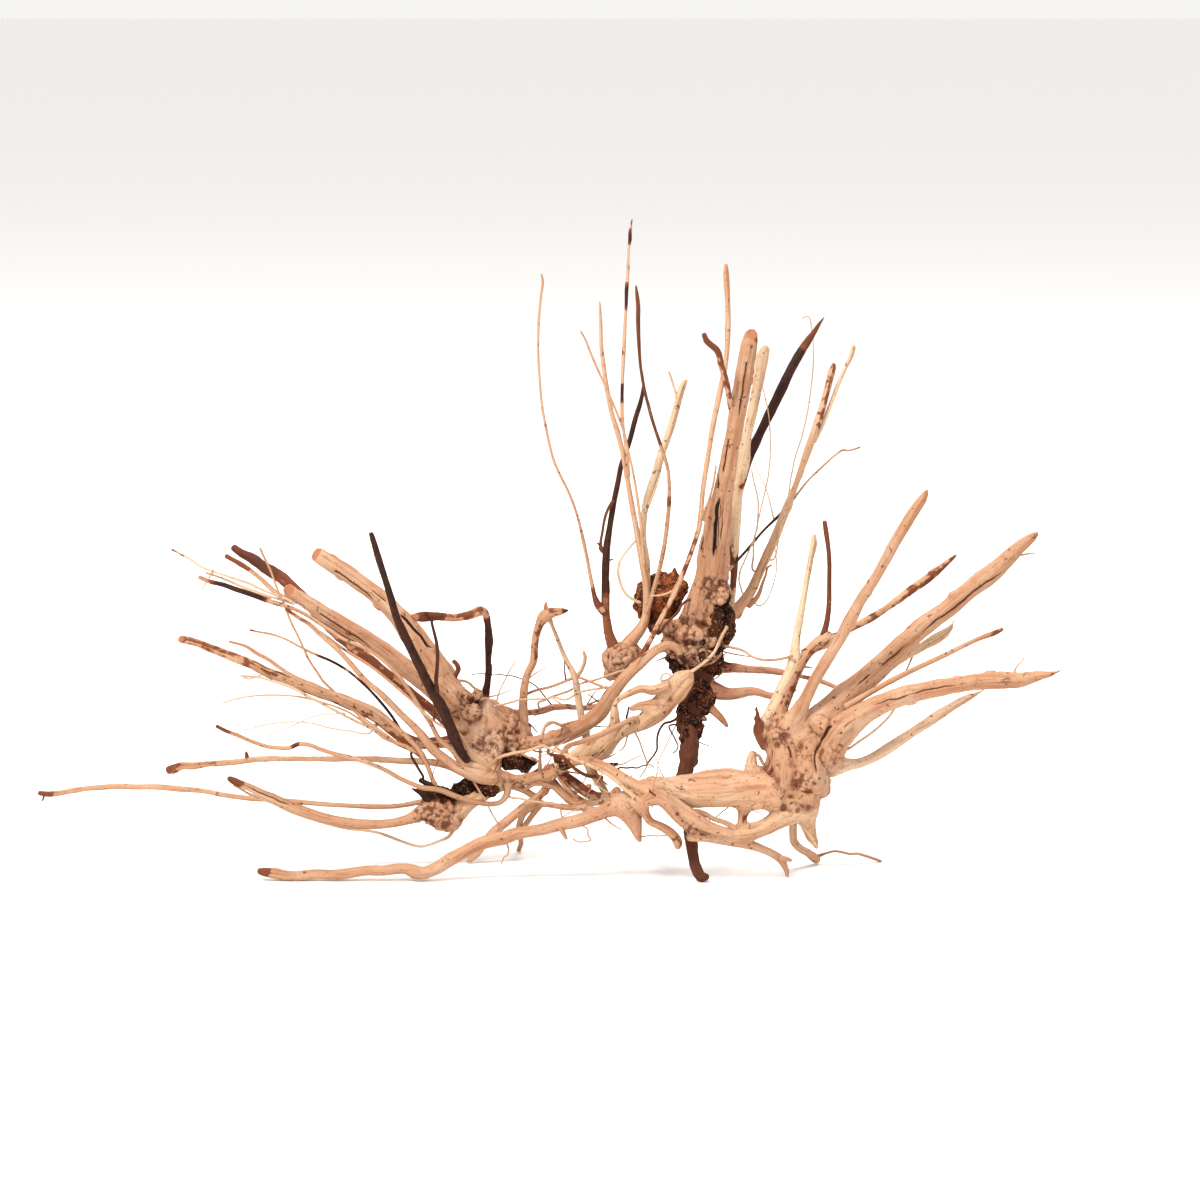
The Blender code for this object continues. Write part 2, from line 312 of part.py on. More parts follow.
        (805, 700, 13.5), (797, 714, 17), (788, 727, 21), (780, 738, 24)), 1),
    "right_mottled": ((-24, -44, -54), (
        (956.5, 554.5, 3), (952, 558.5, 5), (945, 564.5, 6.5), (937, 571, 8), (926, 579.5, 8.8), (915, 587, 9),
        (897, 600.5, 8.5), (888, 607, 7.6), (870, 618.5, 8.5), (852, 628, 7.6), (838, 636, 7),
        (822, 645, 8)), 1),
    "right_knotty": ((-52, -62, -76), (
        (827, 633, 8), (825, 637, 9.5), (819, 642, 10), (812, 648, 10), (806, 656, 9.6), (796.5, 673, 9.8),
        (792.5, 682, 10), (789.5, 691, 10), (786, 701, 9.5), (782, 711, 10), (776, 726, 14)), 1),
    "right_dark": ((-36, -46, -54), (
        (824.5, 521.5, 4), (825.5, 528, 4.6), (829, 555, 4.6), (829.3, 585, 4.7), (828.5, 611, 5),
        (825.5, 628, 6), (822, 638, 7)), 1),
    "right_pale": ((-22, -40, -62, -74), (
        (814, 534.5, 5), (814, 540, 7.3), (810.5, 560, 6.8), (805, 590, 7.2), (801.5, 610, 8), (797.5, 630, 8.4),
        (794.3, 650, 9), (790.5, 670, 9.5), (781, 690, 10.5), (771.5, 710, 11), (768, 720, 13),
        (768, 734, 16)), 1),
    "right_thick": ((-46, -58, -70, -80), (
        (1038, 532.5, 4), (1034, 536, 8), (1027, 541.5, 11), (1018, 548.5, 13), (1010, 556, 15), (994, 571, 18),
        (972, 588, 18.5), (950, 607, 18), (930, 622, 19), (910, 639, 20.5), (890, 657.5, 21.5),
        (860, 683.5, 22), (838, 701.5, 24.5), (825, 713, 26.5), (812, 725, 29), (800, 737, 32), (790, 752, 36)), 1),
    "right_flake": ((-46, -63), (
        (954, 621, 2.5), (951, 627, 6), (945, 633, 10), (936, 639, 12), (926, 645, 11), (909, 655, 8),
        (896, 660, 8)), 0.5),
    "right_long": ((-146, -124, -104, -90, -82), (
        (1062, 669.7, 2.2), (1055, 672.5, 4), (1048, 674.5, 7), (1040, 675.5, 9.5), (1030, 678, 13),
        (1020, 680, 16), (1010, 680.5, 17), (985, 681, 17.3), (955, 685, 17), (925, 690.5, 17.8),
        (900, 697, 19), (880, 704.5, 20.5), (860, 715.5, 24), (850, 723, 26), (840, 733, 28), (828, 748, 30)), 1),
    "right_rod": ((-76, -80, -84), (
        (1002.5, 629, 3.5), (999, 630.8, 4.6), (977, 639.5, 4.6), (945, 655, 4.8), (915, 669, 5.1),
        (885, 684, 5.6), (872, 691.5, 5.5), (846, 707, 8)), 1),
    "right_low": ((-34, -52, -68, -80), (
        (985, 689.5, 2), (977, 693.5, 4), (968, 698, 7.5), (955, 705, 9), (928, 722, 10.2), (900, 740.5, 10.6),
        (888, 748.5, 11), (877, 755.5, 10.2), (868, 760, 9.4), (858, 763.5, 10), (848, 765, 12),
        (838, 766, 16), (824, 766, 20)), 1),
    "right_handle": ((-80, -92), (
        (838, 752, 5), (850, 748, 2.8), (858, 742.5, 2.6), (876, 729.5, 2.6), (890.5, 715, 2.6),
        (893.5, 710.5, 2.6), (896, 702, 4)), 1),
    "crown_link": ((-90, -88, -84), (
        (642, 794, 20), (655, 791, 22), (668, 791, 22), (680, 792, 25), (695, 793, 28), (710, 793, 29.5),
        (725, 793, 30), (740, 791, 32), (755, 790, 36), (774, 789, 42)), 0.95),
    "crown_link_rib": ((-86, -86), (
        (668, 783, 7), (690, 779, 8), (702, 776, 8), (712, 773.5, 8), (722, 772, 7), (731, 772, 7), (740, 775, 7),
        (752, 781, 8)), 1),
    "right_sweep": ((-84, -88, -90, -92), (
        (804, 802, 28), (788, 814, 22), (776, 821, 18), (763, 828, 16.5), (750, 832, 15), (738, 833.5, 14),
        (725, 834.5, 12.5), (712, 835.5, 11), (702, 836.5, 10.5), (689, 836, 10)), 1),
    "right_toe": ((-91, -88, -77), (
        (716, 837, 8), (732, 842, 7), (741, 843.5, 7.5), (752, 846, 8.2), (764, 850, 8.8), (775, 855.5, 9),
        (782, 861, 8.6), (785, 867, 6.5), (787, 873, 5), (787.3, 877, 3)), 1),
    "right_toe_fork": ((-85, -86), ((780, 858, 6), (788, 859.5, 4.5), (791.5, 860.5, 2.8)), 1),
    "right_tooth": ((-80, -68), (
        (806, 800, 26), (807, 818, 18), (809, 829, 13.5), (812, 838, 10), (815, 844, 6.5), (817, 848.5, 3)), 1),
    "right_heel": ((-82, -56, -39), (
        (796, 800, 12), (793, 824, 8.3), (793, 834, 8.2), (794, 842, 8.8), (800, 848.5, 8.8), (808, 853, 9),
        (814, 857.5, 10), (817.5, 860.5, 8)), 1),
    "right_feeler": ((-40, -38, -34), (
        (816, 857, 5), (828, 852.7, 2.8), (834, 851.3, 2.8), (841, 852, 2.8), (850, 854, 2.8), (857, 853.7, 2.8),
        (865, 855.8, 2.8), (881, 861.3, 2.8)), 1),
    "crown_post": ((-84, -90), ((744, 798, 13), (743.5, 810, 10.5), (742, 818, 8), (742, 826, 7), (742, 834, 7)), 1),
    "crown_knob": ((-80, -82), ((753, 752, 8), (751, 760, 10), (751, 767, 12), (760, 776, 18)), 1),
    "crown_shard": ((-76, -76), (
        (757, 706.5, 2.4), (757, 712, 3.2), (758, 719, 5), (757.5, 726, 9), (760, 733, 10), (766, 744, 14)), 0.8),
}

# name: (across, down, half width, half height, half depth, all in pixels, then the depth in millimetres)
BURLS = {
    "left_burl": (484, 728, 30, 34, 26, -14),
    "left_burl_right": (506, 736, 22, 22, 20, -12),
    "left_burl_edge": (519, 742, 12, 14, 12, -8),
    "left_burl_low": (474, 746, 18, 18, 20, -22),
    "left_burl_top": (498, 714, 14, 11, 12, -6),
    "left_soil": (520, 762, 20, 9, 14, -8),
    "left_joint": (492, 776, 13, 11, 14, -36),
    "left_burl_neck": (487, 760, 15, 17, 15, -28),
    "low_burl": (439, 813, 20, 15, 15, -46),
    "low_burl_edge": (452, 816, 10, 12, 12, -45),
    "low_soil": (474, 789, 24, 10, 12, -36),
    "low_soil_left": (440, 797, 18, 10, 12, -42),
    "middle_burl": (688, 640, 29, 21, 22, -12),
    "middle_burl_right": (700, 648, 20, 17, 16, -16),
    "middle_burl_left": (672, 630, 15, 14, 14, -8),
    "middle_knot": (716, 589, 14, 12, 14, -8),
    "middle_bark": (720, 626, 15, 26, 16, 0),
    "middle_bark_low": (712, 660, 13, 17, 14, -4),
    "middle_hollow": (683, 662, 17, 13, 12, -4),
    "spongy": (661, 597, 19, 24, 14, 8),
    "spongy_right": (674, 592, 11, 20, 11, 8),
    "spongy_left": (643, 601, 8, 18, 9, 2),
    "spongy_low": (655, 620, 9, 14, 10, 2),
    "spongy_spur": (675, 576, 3.5, 8, 4, 8),
    "small_burl": (620, 660, 17, 16, 14, -10),
    "small_burl_left": (612, 674, 8, 10, 9, -10),
    "small_burl_right": (629, 653, 11, 10, 10, -8),
    "crown_left": (784, 760, 20, 36, 24, -80),
    "crown_right": (808, 770, 20, 38, 26, -82),
    "crown_low": (797, 794, 25, 20, 22, -84),
    "crown_shoulder": (824, 756, 18, 19, 20, -80),
    "crown_top": (779, 738, 13, 18, 16, -78),
    "crown_corner": (814, 785, 17, 15, 16, -82),
}


def place(across, down, depth):
    """The point seen at that pixel of the photograph whose distance behind the object's middle is depth."""
    right = (across - PHOTO_CENTRE[0]) * PIXEL
    rise = (PHOTO_CENTRE[1] - down) * PIXEL
    forward = Vector((0, math.cos(CAMERA_RISE), -math.sin(CAMERA_RISE)))
    upward = Vector((0, math.sin(CAMERA_RISE), math.cos(CAMERA_RISE)))
    camera = Vector((0, 0, AIM_HEIGHT)) - forward * CAMERA_DISTANCE
    ray = forward * CAMERA_DISTANCE + Vector((1, 0, 0)) * right + upward * rise
    return camera + ray * ((depth * MM - camera.y) / ray.y)


def spread(depths, path):
    """The depths laid evenly along the length of a path."""
    flat = np.array([(p[0], p[1]) for p in path], float)
    run = np.concatenate([[0], np.cumsum(np.linalg.norm(np.diff(flat, axis=0), axis=1))])
    return np.interp(run / run[-1], np.linspace(0, 1, len(depths)), depths)


def thinned(points, radii):
    """The indices of the points that keep the path within PATH_TOLERANCE of where it was."""
    keep, work = {0, len(points) - 1}, [(0, len(points) - 1)]
    line = np.column_stack([np.array(points), np.array(radii)])
    while work:
        a, b = work.pop()
        if b - a < 2:
            continue
        step = line[b] - line[a]
        share = (line[a + 1:b] - line[a])[:, :3] @ step[:3] / max(step[:3] @ step[:3], 1e-12)
        gap = np.linalg.norm(line[a + 1:b] - line[a] - np.clip(share, 0, 1)[:, None] * step, axis=1)
        if gap.max() > PATH_TOLERANCE:
            middle = a + 1 + int(gap.argmax())
            keep.add(middle)
            work += [(a, middle), (middle, b)]
    return sorted(keep)


def add_object(name, bm):
    bmesh.ops.recalc_face_normals(bm, faces=bm.faces)
    mesh = bpy.data.meshes.new(name)
    bm.to_mesh(mesh)
    bm.free()
    obj = bpy.data.objects.new(name, mesh)
    bpy.context.scene.collection.objects.link(obj)
    return obj


def sides_for(radius):
    if radius > THICK / 2:
        return SIDES_THICK
    if radius > MEDIUM / 2:
        return SIDES_MEDIUM
    return SIDES_THIN


def tube(name, depths, path, flatness):
    """A tube along the path, with rings square to it and the far ends closed by flat caps."""
    points = [place(u, v, d) for (u, v, _), d in zip(path, spread(depths, path))]
    radii = [w * PIXEL / 2 for _, _, w in path]
    kept = thinned(points, radii)
    points, radii = [points[i] for i in kept], [radii[i] for i in kept]
    sides = sides_for(float(np.median(radii)))
    view = Vector((0, math.cos(CAMERA_RISE), -math.sin(CAMERA_RISE)))
    bm = bmesh.new()
    rings = []
    for i, (centre, radius) in enumerate(zip(points, radii)):
        ahead = (points[min(i + 1, len(points) - 1)] - points[max(i - 1, 0)]).normalized()
        across = ahead.cross(view).normalized()
        away = across.cross(ahead).normalized()
        ring = []
        for k in range(sides):
            turn = 2 * math.pi * (k + 0.5) / sides
            offset = across * math.cos(turn) + away * math.sin(turn) * flatness
            ring.append(bm.verts.new(centre + offset * radius * 1.03))
        rings.append(ring)
    for low, high in zip(rings, rings[1:]):
        for k in range(sides):
            bm.faces.new((low[k], low[(k + 1) % sides], high[(k + 1) % sides], high[k]))
    bm.faces.new(rings[0])
    bm.faces.new(rings[-1])
    return add_object(name, bm)


def burl(name, across, down, half_wide, half_high, half_deep, depth):
    """A lumpy ball: each point is pushed out or in by a few crossed waves."""
    bm = bmesh.new()
    bmesh.ops.create_icosphere(bm, subdivisions=BALL_STEPS, radius=1)
    centre = place(across, down, depth)
    upward = Vector((0, math.sin(CAMERA_RISE), math.cos(CAMERA_RISE)))
    forward = Vector((0, math.cos(CAMERA_RISE), -math.sin(CAMERA_RISE)))
    for vert in bm.verts:
        x, y, z = vert.co
        lump = 1 + 0.07 * math.sin(5 * x + across) * math.cos(4 * z + down) + 0.05 * math.sin(6 * y + 2 * z)
        vert.co = centre + PIXEL * lump * (
            Vector((1, 0, 0)) * x * half_wide + upward * z * half_high + forward * y * half_deep)
    return add_object(name, bm)


def merged(pieces):
    """The pieces joined by one Boolean union, without their loose helpers."""
    first, rest = pieces[0], pieces[1:]
    group = bpy.data.collections.new("rest")
    for piece in rest:
        group.objects.link(piece)
    join = first.modifiers.new("join", "BOOLEAN")
    join.operation = "UNION"
    join.solver = "MANIFOLD"
    join.operand_type = "COLLECTION"
    join.collection = group
    apply_modifiers(first)
    for piece in rest:
        bpy.data.objects.remove(piece)
    bpy.data.collections.remove(group)
    return first


def apply_modifiers(obj):
    graph = bpy.context.evaluated_depsgraph_get()
    made = bpy.data.meshes.new_from_object(obj.evaluated_get(graph))
    obj.modifiers.clear()
    obj.data = made


def cut_below(obj, height):
    """Takes off what lies under that height, which leaves the feet flat."""
    bm = bmesh.new()
    bmesh.ops.create_cube(bm, size=1)
    for vert in bm.verts:
        vert.co = Vector((vert.co.x * 3, vert.co.y * 3, vert.co.z * 0.2 + height - 0.1))
    block = add_object("block", bm)
    cut = obj.modifiers.new("floor", "BOOLEAN")
    cut.operation = "DIFFERENCE"
    cut.solver = "MANIFOLD"
    cut.object = block
    apply_modifiers(obj)
    bpy.data.objects.remove(block)


def paint(obj):
    material = bpy.data.materials.new("dry wood")
    material.use_nodes = True
    shader = material.node_tree.nodes["Principled BSDF"]
    shader.inputs["Base Color"].default_value = WOOD
    shader.inputs["Roughness"].default_value = 0.75
    obj.data.materials.clear()
    obj.data.materials.append(material)


def main():
    for obj in list(bpy.data.objects):
        bpy.data.objects.remove(obj)
    pieces = [tube(name, *row) for name, row in ROOTS.items()]
    pieces += [burl(name, *row) for name, row in BURLS.items()]
    root = merged(pieces)
    lowest = min(vert.co.z for vert in root.data.vertices)
    cut_below(root, lowest + FLOOR_TRIM)
    root.data.transform(root.matrix_world)
    corners = np.array([vert.co for vert in root.data.vertices])
    low, high = corners.min(axis=0), corners.max(axis=0)
    print("box", low, high, "triangles", len(root.data.polygons))
    for vert in root.data.vertices:
        vert.co += Vector(SHIFT)
    root.name = root.data.name = "root"
    paint(root)


main()
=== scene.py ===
import math

import bpy
import numpy as np
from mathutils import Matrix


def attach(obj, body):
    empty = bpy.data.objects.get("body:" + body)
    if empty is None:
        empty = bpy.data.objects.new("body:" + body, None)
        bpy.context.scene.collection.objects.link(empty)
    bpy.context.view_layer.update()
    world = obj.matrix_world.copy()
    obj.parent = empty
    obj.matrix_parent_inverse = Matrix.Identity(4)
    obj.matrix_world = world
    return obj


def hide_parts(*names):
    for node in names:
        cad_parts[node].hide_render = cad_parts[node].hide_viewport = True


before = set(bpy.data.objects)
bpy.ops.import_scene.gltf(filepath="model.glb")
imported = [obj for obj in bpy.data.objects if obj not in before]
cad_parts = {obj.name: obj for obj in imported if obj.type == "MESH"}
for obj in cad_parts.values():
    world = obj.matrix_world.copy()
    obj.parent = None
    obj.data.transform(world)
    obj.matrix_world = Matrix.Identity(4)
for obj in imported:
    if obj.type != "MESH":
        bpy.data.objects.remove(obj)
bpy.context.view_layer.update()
mm = 0.001

photo = {
    "width": 0.84,  # what the frame spans at the object's middle
    "pixels": 1200,
    "distance": 2.6,
    "rise": math.radians(10),
    "aimHeight": 0.18,
    "shift": (0.04316, 0.02079, 0.00021),  # the middle of the foot of the box goes to the origin
    "sensor": 36,  # millimetres
}
pixel = photo["width"] / photo["pixels"]
forward = np.array([0, math.cos(photo["rise"]), -math.sin(photo["rise"])])
upward = np.array([0, math.sin(photo["rise"]), math.cos(photo["rise"])])
eye = np.array([0, 0, photo["aimHeight"]]) - forward * photo["distance"] + np.array(photo["shift"])


# A read point goes along its ray from the eye until it is the given depth behind the middle.
def toSpace(across, down, depth):
    middle = photo["pixels"] / 2
    ray = (forward * photo["distance"] + np.outer((across - middle) * pixel, [1, 0, 0])
           + np.outer((middle - down) * pixel, upward))
    reach = (depth * mm + photo["shift"][1] - eye[1]) / ray[:, 1]
    return eye + ray * reach[:, None]


# The reverse: where each point shows in the photograph.
def toPhoto(points):
    away = points - eye
    scale = photo["distance"] / (away @ forward) / pixel
    return photo["pixels"] / 2 + away[:, 0] * scale, photo["pixels"] / 2 - away @ upward * scale


# Noise, worked out on whole arrays.

# A repeatable number from 0 to 1 for each whole-numbered cell.
def cellNumber(cells, seed):
    mixed = (cells[..., 0] * 374761393 + cells[..., 1] * 668265263 + cells[..., 2] * 1442695041
             + seed * 1274126177).astype(np.int64)
    mixed = (mixed ^ (mixed >> 13)) * 1274126177
    mixed = mixed ^ (mixed >> 16)
    return (mixed & 0xFFFFF) / 0xFFFFF


# Cell numbers blended smoothly between the eight corners around each point, from -1 to 1.
def cloud(points, size, seed=0):
    scaled = points / size
    base = np.floor(scaled)
    part = scaled - base
    part = part * part * (3 - 2 * part)
    base = base.astype(np.int64)
    total = np.zeros(len(points))
    for corner in np.ndindex(2, 2, 2):
        weight = np.prod(np.where(corner, part, 1 - part), axis=1)
        total += weight * cellNumber(base + corner, seed)
    return total * 2 - 1


# How far each point is from the nearest of one random point per cell: 0 on it, about 1 between them.
def crumbs(points, size, seed=0):
    scaled = points / size
    base = np.floor(scaled).astype(np.int64)
    nearest = np.full(len(points), 9.0)
    for step in np.ndindex(3, 3, 3):
        cell = base + np.array(step) - 1
        spot = cell + np.stack([cellNumber(cell, seed + k) for k in (1, 2, 3)], axis=1)
        nearest = np.minimum(nearest, ((scaled - spot) ** 2).sum(axis=1))
    return np.sqrt(nearest)


def ramp(value, low, high):  # 0 below low, 1 above high, smooth between
    share = np.clip((value - low) / (high - low), 0, 1)
    return share * share * (3 - 2 * share)


def unit(vectors):
    return vectors / np.maximum(np.linalg.norm(vectors, axis=1, keepdims=True), 1e-12)


deepen = {"power": 1.25, "gain": (0.58, 0.57, 0.66)}  # the studio light is strong, so the wood is darker


def linear(red, green, blue):  # a screen colour, 0 to 255, as the renderer's linear one
    share = np.array([red, green, blue]) / 255
    share = np.where(share <= 0.04045, share / 12.92, ((share + 0.055) / 1.055) ** 2.4)
    return share ** deepen["power"] * deepen["gain"]


tones = {
    "yellow": linear(252, 226, 184),
    "cream": linear(248, 217, 178),
    "pale": linear(240, 204, 160),
    "peach": linear(238, 196, 154),
    "tan": linear(226, 183, 142),
    "pink": linear(216, 166, 128),
    "brown": linear(160, 104, 68),
}


# Paths, and the shapes that follow them.

# Between two read points each value follows a cubic whose slopes at the points are the running differences.
def smoothPath(row, step):
    tone, barks, end, flat, depths, reads = row
    reads = np.array(reads, float)
    run = np.concatenate([[0], np.cumsum(np.hypot(*np.diff(reads[:, :2], axis=0).T))])
    depth = np.interp(run / run[-1], np.linspace(0, 1, len(depths)), depths)
    values = np.column_stack([toSpace(reads[:, 0], reads[:, 1], depth), reads[:, 2] * pixel / 2])
    length = np.concatenate([[0], np.cumsum(np.linalg.norm(np.diff(values[:, :3], axis=0), axis=1))])
    slopes = np.gradient(values, length, axis=0)
    along = np.linspace(0, length[-1], max(5, int(length[-1] / step) + 1))
    part = np.clip(np.searchsorted(length, along, side="right") - 1, 0, len(length) - 2)
    gap = (length[part + 1] - length[part])[:, None]
    t = ((along - length[part])[:, None]) / gap
    smooth = ((1 + 2 * t) * (1 - t) ** 2 * values[part] + t * (1 - t) ** 2 * gap * slopes[part]
              + t * t * (3 - 2 * t) * values[part + 1] + t * t * (t - 1) * gap * slopes[part + 1])
    ahead = unit(np.gradient(smooth[:, :3], axis=0))
    across = unit(np.cross(ahead, forward))
    share = along / along[-1]
    bark = np.zeros(len(along))
    for first, last, amount in barks:
        edge = min(0.02, (last - first) / 3)
        inside = ramp(share, first - edge, first + edge) * (1 - ramp(share, last - edge, last + edge))
        if first <= 0:
            inside = np.where(share < (first + last) / 2, 1, inside)
        if last >= 1:
            inside = np.where(share > (first + last) / 2, 1, inside)
        bark = np.maximum(bark, inside * amount)
    return {
        "centre": smooth[:, :3], "radius": np.maximum(smooth[:, 3], reads[:, 2].min() * pixel / 2),
        "ahead": ahead, "across": across, "away": np.cross(across, ahead), "along": along, "flat": flat,
        "bark": bark, "tone": np.tile(tones[tone], (len(along), 1)), "end": end,
    }


ends = {
    "saw": ((0.12, 0.985), (0.0, 0.94), (0.0, 0.5)),  # (how far inside the end, share of the thickness)
    "": ((-0.25, 0.82), (-0.42, 0.5)),
    "slope": 0.9,  # how steeply a sawn face is cut back, towards the camera
    "rim": (0.0005, 0.0014),  # where the sawn face's colour fades out, along the path
}


# The faces of rows of points in closed rings: quads between rings, and a fan round one point at each end.
def ringFaces(rows, sides):
    ring = np.arange(rows * sides).reshape(rows, sides)
    turned = np.roll(ring, -1, axis=1)
    quads = np.stack([ring[:-1], ring[1:], turned[1:], turned[:-1]], axis=-1).reshape(-1, 4)
    first, last = rows * sides, rows * sides + 1
    fans = np.concatenate([np.stack([np.full(sides, first), ring[0], turned[0]], axis=-1),
                           np.stack([np.full(sides, last), turned[-1], ring[-1]], axis=-1)])
    return quads, fans


# Rings square to the path: centre + radius * (cos(turn) * across + flatness * sin(turn) * away). The ends
# are closed by smaller rings round a middle point. A sawn end slides each of its points along the path by
# how far it lies towards the camera, which tilts the face.
def tube(path, sides):
    radius, centre = path["radius"], path["centre"]
    rows = [(0, back, size) for back, size in reversed(ends[path["end"]])]
    rows += [(i, 0, 1) for i in range(1 if path["end"] else 0, len(radius))]
    rows += [(len(radius) - 1, -back, size) for back, size in ends[""]]
    pick = np.array([row[0] for row in rows])
    size = np.array([row[2] for row in rows])[:, None]
    slide = np.array([row[1] for row in rows]) * radius[pick]
    turn = np.linspace(0, 2 * np.pi, sides, endpoint=False)
    left = radius[pick, None] * size * np.cos(turn)
    back = radius[pick, None] * size * np.sin(turn) * path["flat"]
    on = np.tile(slide[:, None], (1, sides))
    if path["end"] == "saw":
        fade = np.exp(-path["along"][pick] / (radius[0] * 1.1))[:, None]
        on = on - ends["slope"] * back * fade
    points = (centre[pick, None] + left[..., None] * path["across"][pick, None]
              + back[..., None] * path["away"][pick, None] + on[..., None] * path["ahead"][pick, None])
    tips = np.array([points[0].mean(axis=0), points[-1].mean(axis=0)])
    points = np.concatenate([points.reshape(-1, 3), tips])
    sample = np.concatenate([np.repeat(pick, sides), [0, len(radius) - 1]])
    return points, *ringFaces(len(rows), sides), sample


# An ellipsoid from a latitude and longitude grid.
def ball(centre, sizes, sides=28):
    lat = np.linspace(0, np.pi, sides // 2 + 1)[1:-1]
    turn = np.linspace(0, 2 * np.pi, sides, endpoint=False)
    around = np.stack([np.outer(np.sin(lat), np.cos(turn)), np.outer(np.sin(lat), np.sin(turn)),
                       np.outer(np.cos(lat), np.ones(sides))], axis=-1).reshape(-1, 3)
    around = np.concatenate([around, [[0, 0, 1], [0, 0, -1]]])
    turnTo = np.array([[1, 0, 0], forward, upward])
    return centre + (around * sizes) @ turnTo, *ringFaces(len(lat), sides)


def readBall(row):
    kind, across, down, wide, high, deep, depth = row
    centre = toSpace(np.array([float(across)]), np.array([float(down)]), np.array([float(depth)]))[0]
    return {"kind": kind, "centre": centre, "sizes": np.array([wide, deep, high]) * pixel}


# Meshes.

def newMesh(name, points, faces):
    mesh = bpy.data.meshes.new(name)
    sizes = np.concatenate([np.full(len(block), block.shape[1]) for block in faces])
    mesh.vertices.add(len(points))
    mesh.vertices.foreach_set("co", np.ascontiguousarray(points, np.float32).ravel())
    corners = np.concatenate([block.ravel() for block in faces])
    mesh.loops.add(len(corners))
    mesh.loops.foreach_set("vertex_index", corners.astype(np.int32))
    mesh.polygons.add(len(sizes))
    mesh.polygons.foreach_set("loop_start", (np.cumsum(sizes) - sizes).astype(np.int32))
    mesh.update(calc_edges=True)
    mesh.validate()
    return mesh


def joined(shells):  # several (points, quads, fans) as one
    offset, points, quads, fans = 0, [], [], []
    for shell in shells:
        points.append(shell[0])
        quads.append(shell[1] + offset)
        fans.append(shell[2] + offset)
        offset += len(shell[0])
    return np.concatenate(points), np.concatenate(quads), np.concatenate(fans)


def pointsOf(mesh):
    found = np.empty(len(mesh.vertices) * 3, np.float32)
    mesh.vertices.foreach_get("co", found)
    return found.reshape(-1, 3).astype(float)


def normalsOf(mesh):
    found = np.empty(len(mesh.vertices) * 3, np.float32)
    mesh.vertex_normals.foreach_get("vector", found)
    return found.reshape(-1, 3).astype(float)


def edgesOf(mesh):
    found = np.empty(len(mesh.edges) * 2, np.int32)
    mesh.edges.foreach_get("vertices", found)
    return found.reshape(-1, 2)


def setPoints(mesh, points):
    mesh.vertices.foreach_set("co", np.ascontiguousarray(points, np.float32).ravel())
    mesh.update()


def keep(mesh, name, kind, values):
    layer = mesh.attributes.new(name, kind, "POINT")
    field = {"FLOAT": "value", "FLOAT_VECTOR": "vector", "FLOAT_COLOR": "color"}[kind]
    if kind == "FLOAT_COLOR":
        values = np.column_stack([values, np.ones(len(values))])
    layer.data.foreach_set(field, np.ascontiguousarray(values, np.float32).ravel())


# Each point moves towards the mean of its neighbours.
def relax(points, edges, amount, rounds):
    count = np.bincount(edges.ravel(), minlength=len(points))[:, None]
    for _ in range(rounds):
        total = np.zeros_like(points)
        for axis in range(3):
            total[:, axis] = (np.bincount(edges[:, 0], points[edges[:, 1], axis], len(points))
                              + np.bincount(edges[:, 1], points[edges[:, 0], axis], len(points)))
        points = points + np.broadcast_to(amount, (len(points), 1)) * (total / np.maximum(count, 1) - points)
    return points


def addObject(name, mesh, material):
    obj = bpy.data.objects.new(name, mesh)
    bpy.context.scene.collection.objects.link(obj)
    mesh.materials.append(material)
    mesh.shade_smooth()
    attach(obj, "root")
    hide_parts("root")
    return obj


# Overlapping closed shells made one skin on a grid of small cubes.
def oneSkin(name, shells, voxel):
    points, quads, fans = joined(shells)
    rough = bpy.data.objects.new(name, newMesh(name, points, (quads, fans)))
    bpy.context.scene.collection.objects.link(rough)
    remesh = rough.modifiers.new("skin", "REMESH")
    remesh.mode = "VOXEL"
    remesh.voxel_size = voxel * 1
    made = bpy.data.meshes.new_from_object(rough.evaluated_get(bpy.context.evaluated_depsgraph_get()))
    made.name = name
    bpy.data.objects.remove(rough)
    return made


# Where a point lies on the wood.

# For each point, the nearest path sample or ball, how far its surface is, and how far the second one is.
def nearestWood(points, paths, balls, reach=0.02):
    found = {"best": np.full(len(points), 1.0), "second": np.full(len(points), 1.0),
             "sample": np.zeros(len(points), int), "ball": np.full(len(points), -1)}

    def offer(pick, distance, sample, ballIndex):
        best, second = found["best"][pick], found["second"][pick]
        closer = distance < best
        found["second"][pick] = np.where(closer, best, np.minimum(second, distance))
        found["best"][pick] = np.where(closer, distance, best)
        found["sample"][pick] = np.where(closer, sample, found["sample"][pick])
        found["ball"][pick] = np.where(closer, ballIndex, found["ball"][pick])

    start = 0
    for path in paths:
        centre, radius = path["centre"], path["radius"]
        low, high = centre.min(axis=0) - reach - radius.max(), centre.max(axis=0) + reach + radius.max()
        pick = np.nonzero(((points > low) & (points < high)).all(axis=1))[0]
        if len(pick):
            near = points[pick]
            gap = np.sqrt(np.maximum((near ** 2).sum(axis=1)[:, None] + (centre ** 2).sum(axis=1)
                                     - 2 * near @ centre.T, 0)) - radius
            sample = gap.argmin(axis=1)
            away = near - centre[sample]
            parts = [(away * path[side][sample]).sum(axis=1) for side in ("across", "away", "ahead")]
            distance = np.sqrt(parts[0] ** 2 + (parts[1] / path["flat"]) ** 2 + parts[2] ** 2)
            offer(pick, distance - radius[sample], sample + start, -1)
        start += len(centre)
    turnBack = np.array([[1, 0, 0], forward, upward]).T
    for index, piece in enumerate(balls):
        distance = np.linalg.norm((points - piece["centre"]) @ turnBack / piece["sizes"], axis=1) - 1
        distance = distance * piece["sizes"].min()
        pick = np.nonzero(distance < reach)[0]
        offer(pick, distance[pick], 0, index)
    return found


def stacked(paths, key):
    return np.concatenate([path[key] for path in paths])


